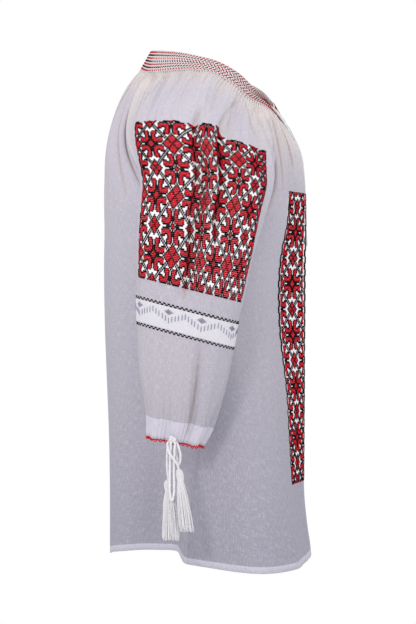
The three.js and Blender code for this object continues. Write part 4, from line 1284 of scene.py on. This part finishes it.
def to_hook(x, y, hook):
    """The distance of each cell from a hook, a line through several points."""
    best = np.full(x.shape, 99.0)
    for (x0, y0), (x1, y1) in zip(hook[:-1], hook[1:]):
        dx, dy = x1 - x0, y1 - y0
        t = np.clip(((x - x0) * dx + (y - y0) * dy) / (dx * dx + dy * dy), 0, 1)
        best = np.minimum(best, np.hypot(x - x0 - t * dx, y - y0 - t * dy))
    return best


def thread_colour(x, y):
    """0 for plain cloth, 1 for red and 2 for black, by the cell's place in the repeat."""
    ax = np.abs((x + 16) % REPEAT - 16).astype(float)
    ay = np.abs((y + 16) % REPEAT - 16).astype(float)
    bx, by = 16 - ax, 16 - ay
    colour = np.zeros(ax.shape, int)
    colour[np.abs(ax + ay - 16) == 1] = BLACK_CELL
    for px, py, centre in ((ax, ay, 2), (bx, by, 1)):
        away = to_hook(px, py, PETAL)
        near = (px <= 9) & (py <= 9)
        between_petals = (np.minimum(px, py) <= 0.5) & (np.maximum(px, py) <= 5)
        colour[near & (away > 2.1) & (px + py < 14)] = 0
        colour[near & ((away <= 2.1) | between_petals)] = BLACK_CELL
        colour[near & (away <= 1.25) & (np.minimum(px, py) > 0.5)] = RED_CELL
        colour[px + py <= centre + 1] = BLACK_CELL
        colour[px + py <= centre] = RED_CELL
    for px, py, size in ((bx, ay, 6), (ax, by, 4)):
        colour[px + py <= size + 1] = BLACK_CELL
        colour[(px + py <= size) & (px != py)] = RED_CELL
    return colour


worked = thread_colour(*np.meshgrid(np.arange(REPEAT), np.arange(REPEAT)))
print("red and black cells in a repeat:", (worked == RED_CELL).sum(), (worked == BLACK_CELL).sum())

# %% [markdown]
# All crosses of one colour make one piece. An object for each stitch would be slow to handle, and
# one mesh with thousands of small threads is not.

# %% Stitches of a pattern
# How far the crosses of each colour start above the cloth, in metres.
RED_CLEAR, BLACK_CLEAR = 0.0003, 0.0006


def embroider(name, chart, colour, outward, nodes, crease=None):
    """Red and black crosses wherever the colour table says so, black a little higher, as it is worked
    last. The red piece hides the solids."""
    layers = ((RED_CELL, "red", RED, nodes, RED_CLEAR), (BLACK_CELL, "black", BLACK, (), BLACK_CLEAR))
    for code, word, finish, hidden, clear in layers:
        j, i = np.nonzero(colour == code)
        parts = crosses(chart, np.stack([i, j], 1), outward, clear)
        # Crosses deep in a fold are painted darker, as painted shade.
        values = None
        if crease is not None:
            values = {"crease": np.tile(np.repeat(crease[j, i], THREAD_POINTS), 2)}
        stitched(f"{name}_{word}", parts, finish, hidden, values)
    return int((colour > 0).sum())


# %% [markdown]
# The panel covers the upper sleeve, and a narrow strip goes down each side of the front. The panel's
# cells are shared out so that whole half repeats lie between the two long pleats.

# %% Sleeve panels and front strips
PANEL_CELLS = (128, 96)
STRIP_CELLS = (37, 182)
# Rows of the front and the column where the strip's outer edge runs there.
STRIP_EDGE = ([6, 7.5, 9, 11, 13, 15], [4.65, 5.0, 5.25, 5.2, 5.0, 5.0])
# First and last row of the panel; the sleeve column of its back edge, and of its front edge at both.
PANEL_ROWS = [4, 9]
PANEL_BACK = 10
PANEL_FRONT = (PANEL_ROWS, [23.6, 22.2])
# Half repeats of the pattern behind the first long pleat, between the two, and in front of them.
HALF_REPEATS = [3, 2, 3]
# How far the top edge is raised, in rows, from the first cell to the step at the second pleat.
RAISED = ([0, 20, 40, 48, 60, 80, 83, 128], [0, 0, 0.05, 0.08, 0.24, 0.34, 0, 0])


def panel_chart(handed):
    """Cell corners of the sleeve panel, and how deep in a fold each lies. Rows share the length down
    the middle. Across, each stretch between a pleat and the next shares its own cells evenly."""
    across, down = PANEL_CELLS
    r = even_rows("sleeve", handed, PANEL_ROWS, float(SHOULDER_COLUMN), down)
    cell = np.arange(across + 1)
    cell_stops = np.cumsum([0, *HALF_REPEATS]) * REPEAT / 2
    u = []
    for row in r:
        stops = [PANEL_BACK, *(valley_column(row, v) for v in VALLEYS), np.interp(row, *PANEL_FRONT)]
        fine = np.linspace(stops[0], stops[-1], CHART_STEPS)
        run = runs(sampled("sleeve", np.full(CHART_STEPS, row), fine, handed))
        u.append(np.interp(np.interp(cell, cell_stops, np.interp(stops, fine, run)), run, fine))
    u = np.array(u)
    first, last = PANEL_ROWS
    r = r[:, None] - np.interp(cell, *RAISED) * ((last - r[:, None]) / (last - first)) ** 3
    return sampled("sleeve", r, u, handed), crease_at("sleeve", r, u)


for side, handed in SIDES.items():
    chart, crease = panel_chart(handed)
    y, x = np.mgrid[0:PANEL_CELLS[1], 0:PANEL_CELLS[0]]
    count = embroider(f"sleeve_stitches_{side}", chart, thread_colour(x + 16, y + 16), -handed,
                      [f"sleeve_panel_{side}"], crease)
    strip = even_chart("front", handed, (6, 15), 1.0, STRIP_EDGE, STRIP_CELLS[1], STRIP_CELLS[0])
    y, x = np.mgrid[0:STRIP_CELLS[1], 0:STRIP_CELLS[0]]
    colour = thread_colour(x - 18, y - 25)
    from_edge = np.minimum(x, STRIP_CELLS[0] - 1 - x)
    colour[from_edge < 4] = 0
    wave = np.where((y // 4) % 2 == 0, 0, 1)
    colour[(from_edge == wave) | (from_edge == wave + 1)] = BLACK_CELL
    more = embroider(f"strip_stitches_{side}", strip, colour, handed, [f"front_strip_{side}"])
    print(side, "cells worked on the sleeve and the strip:", count, more)

# %% [markdown]
# ## The white band between zigzags
# Below the panel two black zigzags go round the sleeve, and between them lies a ground of white
# satin stitch with raised bars on it, set in V shapes with a small diamond in each. The bars are
# the same satin thread painted grey lilac, as painted shade.

# %% Satin bands
BAND_CELLS = (240, 19)
BAND_EDGES = (9.87, 11.23)
BAND_REPEAT = 30
# Cells down from the band's top edge: where the first bar of a V starts, how much lower each cell
# nearer its middle lies, how long a bar is, and where the middle of the diamonds lies.
VEE_TOP, VEE_SLOPE, BAR_LENGTH, DIAMOND_ROW = 3.4, 0.34, 4.6, 5.4
# Half the height of a diamond in its middle, and how many cells it reaches to each side.
DIAMOND_HALF, DIAMOND_REACH = 2.5, 4.2
# Half the width and the height of a satin bar, in metres.
SATIN_BAR = (0.0008, 0.0014)
for side, handed in SIDES.items():
    all_round = ([9, 12], [float(SLEEVE_COLUMNS)] * 2)
    chart = even_chart("sleeve", handed, BAND_EDGES, 0.0, all_round, BAND_CELLS[1], BAND_CELLS[0])
    x = np.arange(BAND_CELLS[0])
    step = np.where(x % 4 < 2, 0, 1)
    zigzag = np.concatenate([np.stack([x, step + k], 1) for k in (0, 17)])
    stitched(f"zigzags_{side}", crosses(chart, zigzag, -handed), BLACK)
    ground = chart[2:-2]
    ground = ground + grid_normals(ground, handed > 0) * 0.0005
    uv = np.zeros((ground.shape[0] * ground.shape[1], 2))
    faces = grid_faces(*ground.shape[:2], flip=handed > 0)
    obj = mesh_piece(f"satin_ground_{side}", ground.reshape(-1, 3), faces, uv)
    finished(thickened(obj), WHITE, [f"satin_band_{side}"])
    from_centre = np.abs(x % BAND_REPEAT - BAND_REPEAT // 2)
    bar = x[::3] + 0.5
    vee = VEE_TOP + VEE_SLOPE * (BAND_REPEAT // 2 - from_centre[::3])
    tall = DIAMOND_HALF * (1 - from_centre / DIAMOND_REACH)
    diamond, tall = x[tall > 0] + 0.5, tall[tall > 0]
    upper, lower = DIAMOND_ROW - tall, DIAMOND_ROW + tall
    bars = [threads(chart, bar, vee, bar, vee + BAR_LENGTH, *SATIN_BAR, -handed),
            threads(chart, diamond, upper, diamond, lower, *SATIN_BAR, -handed)]
    stitched(f"satin_bars_{side}", bars, SATIN_PAINTED_SHADE)
print("satin bars each side:", len(bar) + len(diamond))

# %% [markdown]
# The smocking's chart has a cell for each pleat and each row of stitches. It lies level with the
# tops of the pleats, so each thread bridges the dips between them.

# %% Smocking stitches
along, t = np.meshgrid(np.arange(pleats + 1) * PLEAT_PITCH, np.linspace(0.03, 0.97, BAND_ROWS + 1))
band_chart = band_points(along, t, np.full(along.shape, PLEAT_DEPTH * 0.5))
# How many rows a smocking stitch rises or falls to each side, half its width and its height.
SLANT = 0.3
SMOCKING_THREAD = (0.0007, 0.0009)
for word, finish, first in (("red", RED, 0), ("black", BLACK, 1)):
    parts = []
    for row in range(first, BAND_ROWS, 2):
        k = np.arange(row % 2, pleats - 2, 2)
        slant = np.full(len(k), SLANT if row % 4 < 2 else -SLANT)
        start, end = row + 0.5 - slant, row + 0.5 + slant
        parts.append(threads(band_chart, k + 0.2, start, k + 1.5, end, *SMOCKING_THREAD, -1))
    stitched(f"smocking_stitches_{word}", parts, finish)
    print(word, "smocking stitches:", sum(len(part[1]) // 2 for part in parts))

# %% [markdown]
# ## The crocheted cuff edging
# A red thread runs in a zigzag of loops along the cuff. It is a tube along a wave that hangs from
# the cuff's own edge.

# %% Cuff edging
EDGING_LOOPS = 36
EDGING_POINTS = EDGING_LOOPS * 10 + 1
CUFF_ROW = 16.0
for side, handed in SIDES.items():
    around = np.linspace(0, SLEEVE_COLUMNS, EDGING_POINTS)
    edge = sampled("sleeve", np.full(EDGING_POINTS, CUFF_ROW), around, handed)
    phase = np.linspace(0, 2 * np.pi * EDGING_LOOPS, len(edge))
    line = edge + np.stack([0 * phase, 0 * phase, -0.0021 - 0.0012 * np.cos(phase)], 1)
    rope = tube(line, np.full(len(line), 0.0006), 6, across=(0, 0, 1))
    head = tube(edge + [0, 0, -0.0007], np.full(len(edge), 0.0007), 6, across=(0, 0, 1))
    stitched(f"crochet_{side}", [rope, head], RED, [f"cuff_edging_{side}"])
    print(side, "cuff edging:", round(float(runs(edge)[-1]), 3), "m round")

# %% [markdown]
# The floor only catches light.

# %% Floor
FLOOR_HEIGHT = -2.2
FLOOR_HALF = 8.5
corners = [[x * FLOOR_HALF, y * FLOOR_HALF, FLOOR_HEIGHT] for x, y in ((-1, -1), (1, -1), (1, 1), (-1, 1))]
floor = mesh_piece("floor", corners, [[0, 1, 2, 3]])
print("floor:", 2 * FLOOR_HALF, "m wide at height", FLOOR_HEIGHT, "m")
pale = Shader("pale_floor")
floor.data.materials.append(pale.set(Base_Color=(0.9, 0.9, 0.9, 1), Roughness=0.95))
